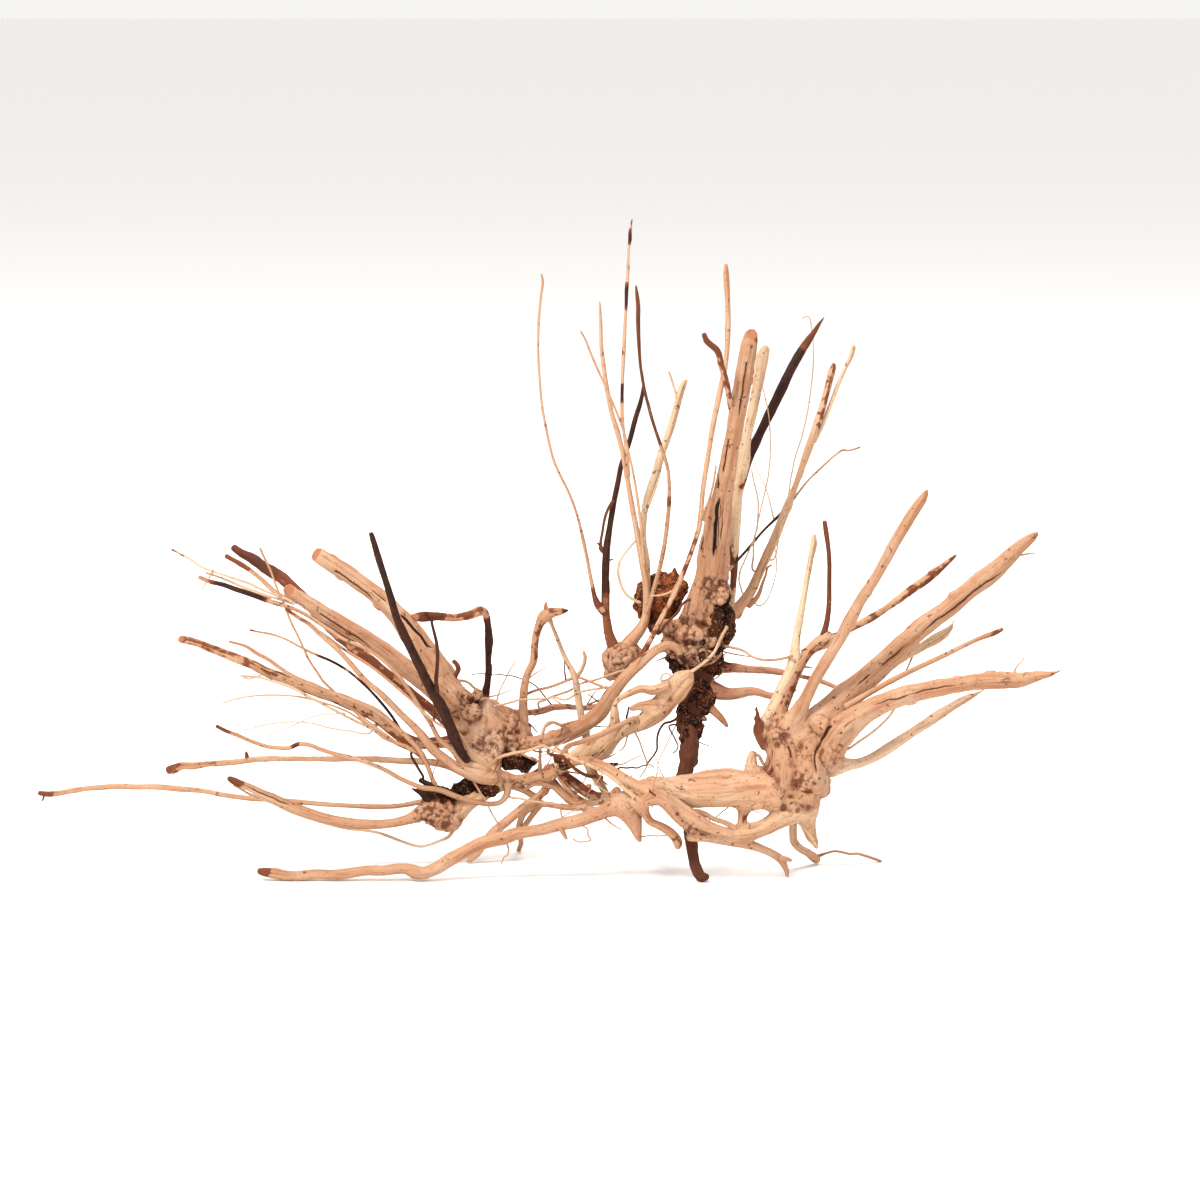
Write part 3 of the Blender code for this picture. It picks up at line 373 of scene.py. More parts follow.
# The wood's own coordinates: across, away and along the path, as if each root were pulled straight.
def grainOf(points, sample, paths):
    rel = points - stacked(paths, "centre")[sample]
    sides = [(rel * stacked(paths, side)[sample]).sum(axis=1) for side in ("across", "away", "ahead")]
    sides[2] = sides[2] + stacked(paths, "along")[sample]
    which = np.concatenate([np.full(len(path["along"]), index) for index, path in enumerate(paths)])[sample]
    return np.column_stack(sides), which


# How far a read crack line reaches, and within what it has its full width, in pixels, and how it wavers.
crackLine = {"reach": 9, "full": 6, "waver": 0.7, "waverSize": 7.0, "fine": 0.45}
noCrack = 9.0  # the distance, in millimetres, that stands for no crack nearby


# The signed distance, in millimetres, from the crack lines read off the photograph, on the side that faces
# it, and half of the crack's width there, which tapers to nothing at both ends.
def crackField(points, normals, cracks):
    across, down = toPhoto(points)
    facing = ((eye - points) * normals).sum(axis=1) > 0
    side, wide = np.full(len(points), noCrack), np.zeros(len(points))
    nearest, reach = np.full(len(points), float(crackLine["reach"])), crackLine["reach"]
    for width, line in cracks:
        line = np.array(line, float)
        steps = np.diff(line, axis=0)
        run = np.concatenate([[0], np.cumsum(np.hypot(*steps.T))])
        low, high = line.min(axis=0) - reach, line.max(axis=0) + reach
        pick = np.nonzero(facing & (across > low[0]) & (across < high[0])
                          & (down > low[1]) & (down < high[1]))[0]
        flat = np.column_stack([across[pick], down[pick], np.zeros(len(pick))])
        wiggle = cloud(flat, crackLine["waverSize"], 5) * crackLine["waver"]
        for first, step, before in zip(line, steps, run):
            offset = np.column_stack([across[pick], down[pick]]) - first
            share = np.clip(offset @ step / (step @ step), 0, 1)
            turned = (step[0] * offset[:, 1] - step[1] * offset[:, 0]) / np.hypot(*step) + wiggle
            gap = np.hypot(*(offset - share[:, None] * step).T)
            place = (before + share * np.hypot(*step)) / run[-1]
            taper = ramp(place, 0, 0.2) * (1 - ramp(place, 0.8, 1))
            closer = gap < nearest[pick]
            nearest[pick] = np.where(closer, gap, nearest[pick])
            side[pick] = np.where(closer, turned * pixel / mm, side[pick])
            within = closer & (gap < crackLine["full"])
            wide[pick] = np.where(within, width / 2 * taper * pixel / mm, wide[pick] * ~closer)
    broken = ramp(cloud(points, 0.011, 8), -0.55, 0.1)  # fine lines break off here and there
    return side, wide * np.where(wide > crackLine["fine"], 1, broken)


backCrack = {"spread": 2.4, "wander": 0.35, "wide": 0.55, "leastRoot": 0.0045}


# Shrinkage cracks on the side away from the camera: on every second thick root, one line that wanders
# slowly round it as it runs along.
def backCracks(grain, radius, which, normals, points):
    turn = np.arctan2(grain[:, 0], grain[:, 1])
    start = (cellNumber(np.column_stack([which, which * 0, which * 0]), 3) - 0.5) * backCrack["spread"]
    wander = cloud(np.column_stack([grain[:, 2], which * 1.0, which * 0]), 0.03, 4)
    line = start + backCrack["wander"] * wander
    side = (turn - line) * radius
    along = cloud(np.column_stack([grain[:, 2], which * 1.0, which * 0.5]), 0.05, 6)
    away = ((points - eye) * normals).sum(axis=1) > 0
    here = away * (radius > backCrack["leastRoot"]) * (which % 2 == 0)
    return side / mm, backCrack["wide"] * ramp(along, -0.1, 0.3) * here


relief = {
    "ridge": 0.00034, "ridgeSizes": (0.0026, 0.0055),
    "wave": 0.00055, "waveSizes": (0.013, 0.005),
    "bud": 0.0011, "budSize": 0.007,
    "blend": 0.009,  # how far apart two roots may be for the wood to fill out between them
    # hollow: how deep a hollow must be, in metres, for one whole step of the painted shade put in it
    "crackDepth": 0.0011, "hollow": 0.0004,
    "lump": 0.0034, "lumpSizes": (0.013, 0.006),
    "crust": 0.0024, "crustSizes": (0.006, 0.009),
    "bead": 0.0026, "beadSize": 0.0046, "dip": 0.002,
}


# Long ridges: noise that is drawn out along the grain, and broad waves all over.
def woodRelief(points, grain, radius, which):
    thick = np.clip(radius / 0.006, 0.25, 1.4)
    seeded = grain + which[:, None] * np.array([0.37, 0.19, 0.53])
    fineSize, wideSize = relief["ridgeSizes"]
    ridge = cloud(seeded * [1, 1, 0.1], fineSize, 11) + 0.6 * cloud(seeded * [1, 1, 0.16], wideSize, 12)
    bud = ramp(cloud(seeded * [1, 1, 0.6], relief["budSize"], 15), 0.6, 0.85)
    long, short = relief["waveSizes"]
    return thick * (relief["ridge"] * ridge + relief["wave"] * cloud(points, long, 13)
                    + 0.4 * relief["wave"] * cloud(points, short, 14) + relief["bud"] * bud)


# Lumps on the burls, crust where bark is left, and beads with dips between them where it is pimply.
def roughened(height, points, onBurl, barky, pimply):
    broad, small = relief["lumpSizes"]
    height = height + onBurl * relief["lump"] * (cloud(points, broad, 33) + 0.5 * cloud(points, small, 34))
    grainy, patchy = relief["crustSizes"]
    crust = 0.5 - crumbs(points, grainy, 35) + 0.7 * cloud(points, patchy, 36)
    height = height + barky * relief["crust"] * crust
    moved = points + 0.0015 * cloud(points, 0.004, 37)[:, None]
    beads = relief["bead"] * (0.6 - crumbs(moved, relief["beadSize"], 31))
    dips = relief["dip"] * ramp(cloud(points, 0.006, 38), 0.3, 0.7)
    return height + pimply * (beads + relief["dip"] * cloud(points, 0.009, 32) - dips)


# Raised places read off the photograph: a round bump on the side that faces it.
def knotHeight(points, normals, knots):
    across, down = toPhoto(points)
    facing = ramp(((eye - points) * normals).sum(axis=1), 0, 0.2)
    total = np.zeros(len(points))
    for u, v, size, height in knots:
        total += height * mm * np.exp(-((across - u) ** 2 + (down - v) ** 2) / (size * size / 1.6)) * facing
    return total


# How pimply each point is: in the read zones on the front, and in drifting patches of the burls behind.
def pimpleWeight(points, normals, zones, onBall):
    across, down = toPhoto(points)
    facing = ((eye - points) * normals).sum(axis=1) > 0
    total = np.zeros(len(points))
    for u, v, wide, high, amount in zones:
        off = ((across - u) / wide) ** 2 + ((down - v) / high) ** 2
        total = np.maximum(total, amount * np.exp(-off ** 2))
    behind = onBall * ramp(cloud(points, 0.016, 21), -0.1, 0.3) * 0.8
    return np.where(facing, total, behind)


# One fused crown: its thick roots and burls become one skin, filled out where two of them meet, then
# carved with ridges, knots, pimples and cracks.
def fusedWood(name, look, paths, balls, material):
    shells = [tube(path, 32) for path in paths] + [ball(piece["centre"], piece["sizes"]) for piece in balls]
    shells = [shell[:3] for shell in shells]
    mesh = oneSkin(name, shells, look["voxel"])
    points, edges = pointsOf(mesh), edgesOf(mesh)
    near = nearestWood(points, paths, balls)
    meeting = np.clip(1 - np.abs(near["second"] - near["best"]) / relief["blend"], 0, 1)
    meeting = np.where(near["ball"] >= 0, 0.25 * meeting, meeting)
    points = points + normalsOf(mesh) * (0.25 * relief["blend"] * meeting ** 2)[:, None]
    points = relax(points, edges, np.where(near["ball"] >= 0, 0.55, 0.25 + 0.35 * meeting)[:, None], 6)
    setPoints(mesh, points)
    normals = normalsOf(mesh)
    grain, which = grainOf(points, near["sample"], paths)
    onBall = near["ball"] >= 0
    radius = np.where(onBall, 0.008, stacked(paths, "radius")[near["sample"]])
    if balls:
        centres = np.array([piece["centre"] for piece in balls])[near["ball"]]
        grain = np.where(onBall[:, None], (points - centres) * [1, 1, 0.5], grain)
    side, wide = crackField(points, normals, look["cracks"])
    sideBack, wideBack = backCracks(grain, radius, which, normals, points)
    side, wide = np.where(wide > 0, side, sideBack), np.where(wide > 0, wide, wideBack * ~onBall)
    side = np.where(wide > 0, side, noCrack)
    pimply = pimpleWeight(points, normals, look["pimples"], onBall)
    height = woodRelief(points, grain, radius, which) + knotHeight(points, normals, look["knots"])
    barky = np.where(onBall, 0, stacked(paths, "bark")[near["sample"]]) * ramp(radius, 0.003, 0.006)
    rounded = relax(np.column_stack([onBall, barky, barky]) * 1.0, edges, 0.6, 10)
    height = roughened(height, points, rounded[:, 0], rounded[:, 1], pimply)
    height -= relief["crackDepth"] * np.clip(wide / 0.5, 0, 1.4) * (1 - ramp(np.abs(side), wide, wide + 0.9))
    setPoints(mesh, points + normals * height[:, None])
    finish(mesh, grain, near["sample"], paths, side, wide, pimply, onBall)
    return addObject(name, mesh, material)


# Thin roots stay separate tubes whose lower ends lie inside the wood that they grow from.
def thinRoots(name, paths, material, sides=12):
    shells = [tube(path, max(6, int(sides * min(1, np.median(path["radius"]) / 0.0016)))) for path in paths]
    points, quads, fans = joined([shell[:3] for shell in shells])
    starts = np.cumsum([0] + [len(path["along"]) for path in paths])
    sample = np.concatenate([shell[3] + start for shell, start in zip(shells, starts)])
    mesh = newMesh(name, points, (quads, fans))
    normals = normalsOf(mesh)
    grain, which = grainOf(points, sample, paths)
    radius = stacked(paths, "radius")[sample]
    height = woodRelief(points, grain, radius, which) * np.clip(radius / 0.0015, 0.3, 1)
    setPoints(mesh, points + normals * height[:, None])
    side, none = np.full(len(points), noCrack), np.zeros(len(points))
    finish(mesh, grain, sample, paths, side, none, none, none.astype(bool))
    return addObject(name, mesh, material)


# Writes what the material reads: the grain in millimetres, the tone, how much bark is left, the cracks,
# the sawn faces, the pimples and how hollow the surface is, which the material darkens as painted shade.
def finish(mesh, grain, sample, paths, side, wide, pimply, onBall):
    points, normals, edges = pointsOf(mesh), normalsOf(mesh), edgesOf(mesh)
    tone = stacked(paths, "tone")[sample]
    bark = stacked(paths, "bark")[sample]
    bark = np.where(onBall, bark * 0.3, bark)
    tone = np.where(onBall[:, None], tones["tan"], tone)
    spread = relax(np.column_stack([bark, tone[:, 0], tone[:, 1]]), edges, 0.5, 4)
    blue = relax(np.column_stack([tone[:, 2]] * 3), edges, 0.5, 4)[:, 0]
    # How hollow the surface is, for the painted shade that the material puts in the hollows.
    hollow = ((relax(points, edges, 0.6, 5) - points) * normals).sum(axis=1) / relief["hollow"]
    sawn = np.concatenate([np.full(len(path["along"]), path["end"] == "saw") for path in paths])[sample]
    back = grain[:, 1] * np.exp(-grain[:, 2] / 0.012)
    cut = sawn * (1 - ramp(grain[:, 2] + ends["slope"] * back, *ends["rim"])) * ~onBall
    keep(mesh, "grain", "FLOAT_VECTOR", grain / mm)
    keep(mesh, "tone", "FLOAT_COLOR", np.column_stack([spread[:, 1], spread[:, 2], blue]))
    keep(mesh, "bark", "FLOAT", spread[:, 0])
    keep(mesh, "crackSide", "FLOAT", side)
    keep(mesh, "crackWide", "FLOAT", wide)
    keep(mesh, "pimply", "FLOAT", pimply)
    keep(mesh, "hollow", "FLOAT", np.clip(hollow, -1.5, 1.5))
    keep(mesh, "cut", "FLOAT", cut)


# Crumbly lumps of soil or rotten wood: balls made one skin, with grains of two sizes pushed out.
def crumbly(name, look, balls, material):
    mesh = oneSkin(name, [ball(piece["centre"], piece["sizes"]) for piece in balls], look["voxel"])
    points, normals = pointsOf(mesh), normalsOf(mesh)
    height = (look["lump"] * cloud(points, 0.009, 41) + look["lump"] * 0.6 * cloud(points, 0.0045, 42)
              + look["grain"] * (0.6 - crumbs(points, look["size"], 43))
              + look["grain"] * 0.5 * (0.6 - crumbs(points, look["size"] * 0.45, 44)))
    setPoints(mesh, points + normals * height[:, None])
    # How deep each point lies between the grains, which the material paints as shade.
    keep(mesh, "hollow", "FLOAT", np.clip(-height / look["grain"], -1.5, 1.5))
    return addObject(name, mesh, material)


# Materials.

def newMaterial(name):
    material = bpy.data.materials.new(name)
    material.use_nodes = True
    tree = material.node_tree
    shader = tree.nodes["Principled BSDF"]

    def add(kind, inputs=None, **settings):
        node = tree.nodes.new("ShaderNode" + kind)
        for key, value in settings.items():
            setattr(node, key, value)
        for key, value in (inputs or {}).items():
            if hasattr(value, "links"):
                tree.links.new(value, node.inputs[key])
            else:
                node.inputs[key].default_value = value
        return node

    def read(attribute, output="Fac"):
        return add("Attribute", attribute_name=attribute).outputs[output]

    def calc(operation, first, second=0.0, third=0.0):
        return add("Math", {0: first, 1: second, 2: third}, operation=operation).outputs[0]

    def times(first, second):
        return calc("MULTIPLY", first, second)

    def fade(value, low, high):  # 0 below low to 1 above high
        return add("MapRange", {"Value": value, "From Min": low, "From Max": high},
                   interpolation_type="SMOOTHSTEP").outputs["Result"]

    def mix(share, first, second, blend="MIX"):
        node = add("Mix", data_type="RGBA", blend_type=blend)
        for key, value in ((0, share), (6, first), (7, second)):
            if hasattr(value, "links"):
                tree.links.new(value, node.inputs[key])
            elif key == 0:
                node.inputs[key].default_value = value
            else:
                node.inputs[key].default_value = (*value, 1)
        return node.outputs[2]

    def noise(vector, scale, detail=3.0, stretch=(1, 1, 1)):
        moved = add("Mapping", {"Vector": vector, "Scale": stretch}).outputs[0]
        return add("TexNoise", {"Vector": moved, "Scale": scale, "Detail": detail}).outputs["Fac"]

    def wire(output, socket):
        tree.links.new(output, shader.inputs[socket])

    return material, shader, add, read, calc, times, fade, mix, noise, wire


woodLook = {
    "fibre": (1.1, 1.1, 0.06), "streak": (0.24, 0.24, 0.012),  # per millimetre of grain
    "streakColour": linear(188, 122, 78), "highlight": linear(255, 236, 200),
    "barkLight": linear(142, 88, 56), "barkDark": linear(70, 38, 21), "barkRed": linear(172, 106, 66),
    # the two crack colours are painted shade inside a crack, the second for wide ones
    "crackShadePale": linear(128, 76, 46), "crackShadeDeep": linear(50, 26, 16),
    "cut": linear(214, 156, 114), "cutRing": linear(176, 118, 80),
    # the hollow colour is painted shade in the hollows and also the dark of the fibres; the pit colour is
    # painted shade between a burl's beads and also the scattered dots
    "hollow": linear(140, 78, 44), "pitShadeAndDots": linear(128, 68, 38), "bump": 0.0006,
    "beads": 260.0, "broad": 38.0, "mottle": 150.0, "dots": 230.0, "speck": 420.0,  # marks per metre
}


def dryWood():
    material, shader, add, read, calc, times, fade, mix, noise, wire = newMaterial("dryWood")
    grain = read("grain", "Vector")
    place = add("TexCoord").outputs["Object"]
    fibre = noise(grain, 1.0, 4.0, woodLook["fibre"])
    streak = noise(grain, 1.0, 4.0, woodLook["streak"])
    broad = noise(place, woodLook["broad"], 2.0)
    speck = noise(place, woodLook["speck"], 3.0)
    mottle = noise(place, woodLook["mottle"], 3.0)
    # Bare wood: streaks and fibres along the grain, paler drifts, and painted shade in the hollows.
    colour = mix(times(fade(streak, 0.46, 0.72), 0.62), read("tone", "Color"), woodLook["streakColour"])
    colour = mix(times(fade(broad, 0.45, 0.7), 0.25), colour, woodLook["highlight"])
    colour = mix(times(fade(speck, 0.56, 0.7), 0.4), colour, woodLook["streakColour"])
    colour = mix(times(fade(fibre, 0.5, 0.75), 0.45), colour, woodLook["hollow"])
    # Painted shade: the hollower the surface, the more it takes the dark hollow colour.
    colour = mix(times(fade(read("hollow"), 0.05, 0.9), 0.75), colour, woodLook["hollow"])
    # Painted shade in the pits between the beads of a pimply burl, and scattered dark dots.
    bead = add("TexVoronoi", {"Vector": place, "Scale": woodLook["beads"]}).outputs["Distance"]
    pitShade = times(fade(bead, 0.45, 0.8), fade(read("pimply"), 0.15, 0.7))
    colour = mix(times(pitShade, 0.85), colour, woodLook["pitShadeAndDots"])
    dots = times(fade(noise(place, woodLook["dots"], 2.0), 0.66, 0.7), 0.75)
    colour = mix(dots, colour, woodLook["pitShadeAndDots"])
    # Bark in ragged patches: reddish where little is left, nearly black where it is whole.
    barkLevel = calc("ADD", read("bark"), times(calc("SUBTRACT", streak, 0.5), 0.9))
    barkLevel = calc("ADD", barkLevel, times(calc("SUBTRACT", mottle, 0.5), 0.9))
    bark = fade(barkLevel, 0.44, 0.56)
    whole = fade(read("bark"), 0.8, 0.95)
    skin = mix(fade(fibre, 0.35, 0.65), woodLook["barkDark"], woodLook["barkLight"])
    rich = times(fade(broad, 0.5, 0.62), calc("SUBTRACT", 0.5, times(whole, 0.4)))
    skin = mix(rich, skin, woodLook["barkRed"])
    skin = mix(fade(read("bark"), 0.6, 0.95), mix(0.55, skin, woodLook["barkRed"]),
               mix(0.72, skin, woodLook["barkDark"]))
    skin = mix(times(fade(mottle, 0.52, 0.62), whole), skin, woodLook["barkDark"])
    colour = mix(bark, colour, skin)
    # Rings on a sawn face, round the root's own middle.
    sides = add("SeparateXYZ", {0: grain})
    squares = [calc("POWER", sides.outputs[axis], 2.0) for axis in (0, 1)]
    ring = calc("ADD", calc("SQRT", calc("ADD", *squares)), times(speck, 0.8))
    rings = fade(calc("SINE", times(ring, 5.5)), 0.2, 1.0)
    face = mix(times(rings, 0.6), woodLook["cut"], woodLook["cutRing"])
    colour = mix(read("cut"), colour, face)
    # Painted shade in the cracks, darker where they are wide.
    crackWide = read("crackWide")
    beyond = calc("SUBTRACT", calc("ABSOLUTE", read("crackSide")), crackWide)
    inCrack = times(calc("SUBTRACT", 1.0, fade(beyond, -0.08, 0.12)), fade(crackWide, 0.03, 0.12))
    crackShade = mix(fade(crackWide, 0.45, 1.0), woodLook["crackShadePale"], woodLook["crackShadeDeep"])
    colour = mix(inCrack, colour, crackShade)
    wire(colour, "Base Color")
    shader.inputs["Specular IOR Level"].default_value = 0.22
    wire(calc("ADD", 0.62, times(fibre, 0.25)), "Roughness")
    height = calc("ADD", times(fibre, 0.7), times(speck, 0.3))
    height = calc("ADD", height, times(bark, times(mottle, 1.4)))
    height = calc("SUBTRACT", height, inCrack)
    height = calc("SUBTRACT", height, times(bead, times(read("pimply"), 2.2)))
    bump = add("Bump", {"Height": height, "Strength": 0.8, "Distance": woodLook["bump"]})
    wire(bump.outputs[0], "Normal")
    return material


soilLook = {
    "voxel": 0.0008, "lump": 0.0024, "grain": 0.0018, "size": 0.0032,
    "colours": (linear(52, 28, 16), linear(112, 66, 40), linear(212, 162, 116)),
}
rottenLook = {
    "voxel": 0.0008, "lump": 0.0026, "grain": 0.0017, "size": 0.003,
    "colours": (linear(92, 48, 24), linear(178, 108, 60), linear(240, 190, 140)),
}


def crumblyMaterial(name, look):
    material, shader, add, read, calc, times, fade, mix, noise, wire = newMaterial(name)
    place = add("TexCoord").outputs["Object"]
    coarse = noise(place, 170.0, 4.0)
    fine = noise(place, 700.0, 3.0)
    low, middle, high = look["colours"]
    colour = mix(fade(coarse, 0.38, 0.62), low, middle)
    colour = mix(times(fade(fine, 0.55, 0.68), 0.7), colour, high)
    # Painted shade in the dips between the grains.
    colour = mix(times(fade(read("hollow"), -0.1, 0.8), 0.85), colour, low)
    wire(colour, "Base Color")
    shader.inputs["Specular IOR Level"].default_value = 0.15
    wire(calc("ADD", 0.8, times(fine, 0.15)), "Roughness")
    bump = add("Bump", {"Height": calc("ADD", coarse, fine), "Strength": 0.9, "Distance": 0.0008})
    wire(bump.outputs[0], "Normal")
    return material


# The pieces.

# In each dictionary below, places and sizes are in the photograph's pixels:
# cracks: (width, line)
# knots: (across, down, size, height in millimetres)
# pimples: (across, down, half wide, half high, amount)
# roots: (tone, bark as (from, to, amount), end, flatness, depths, path)
# burls: (kind, across, down, half wide, half high, half deep, depth)

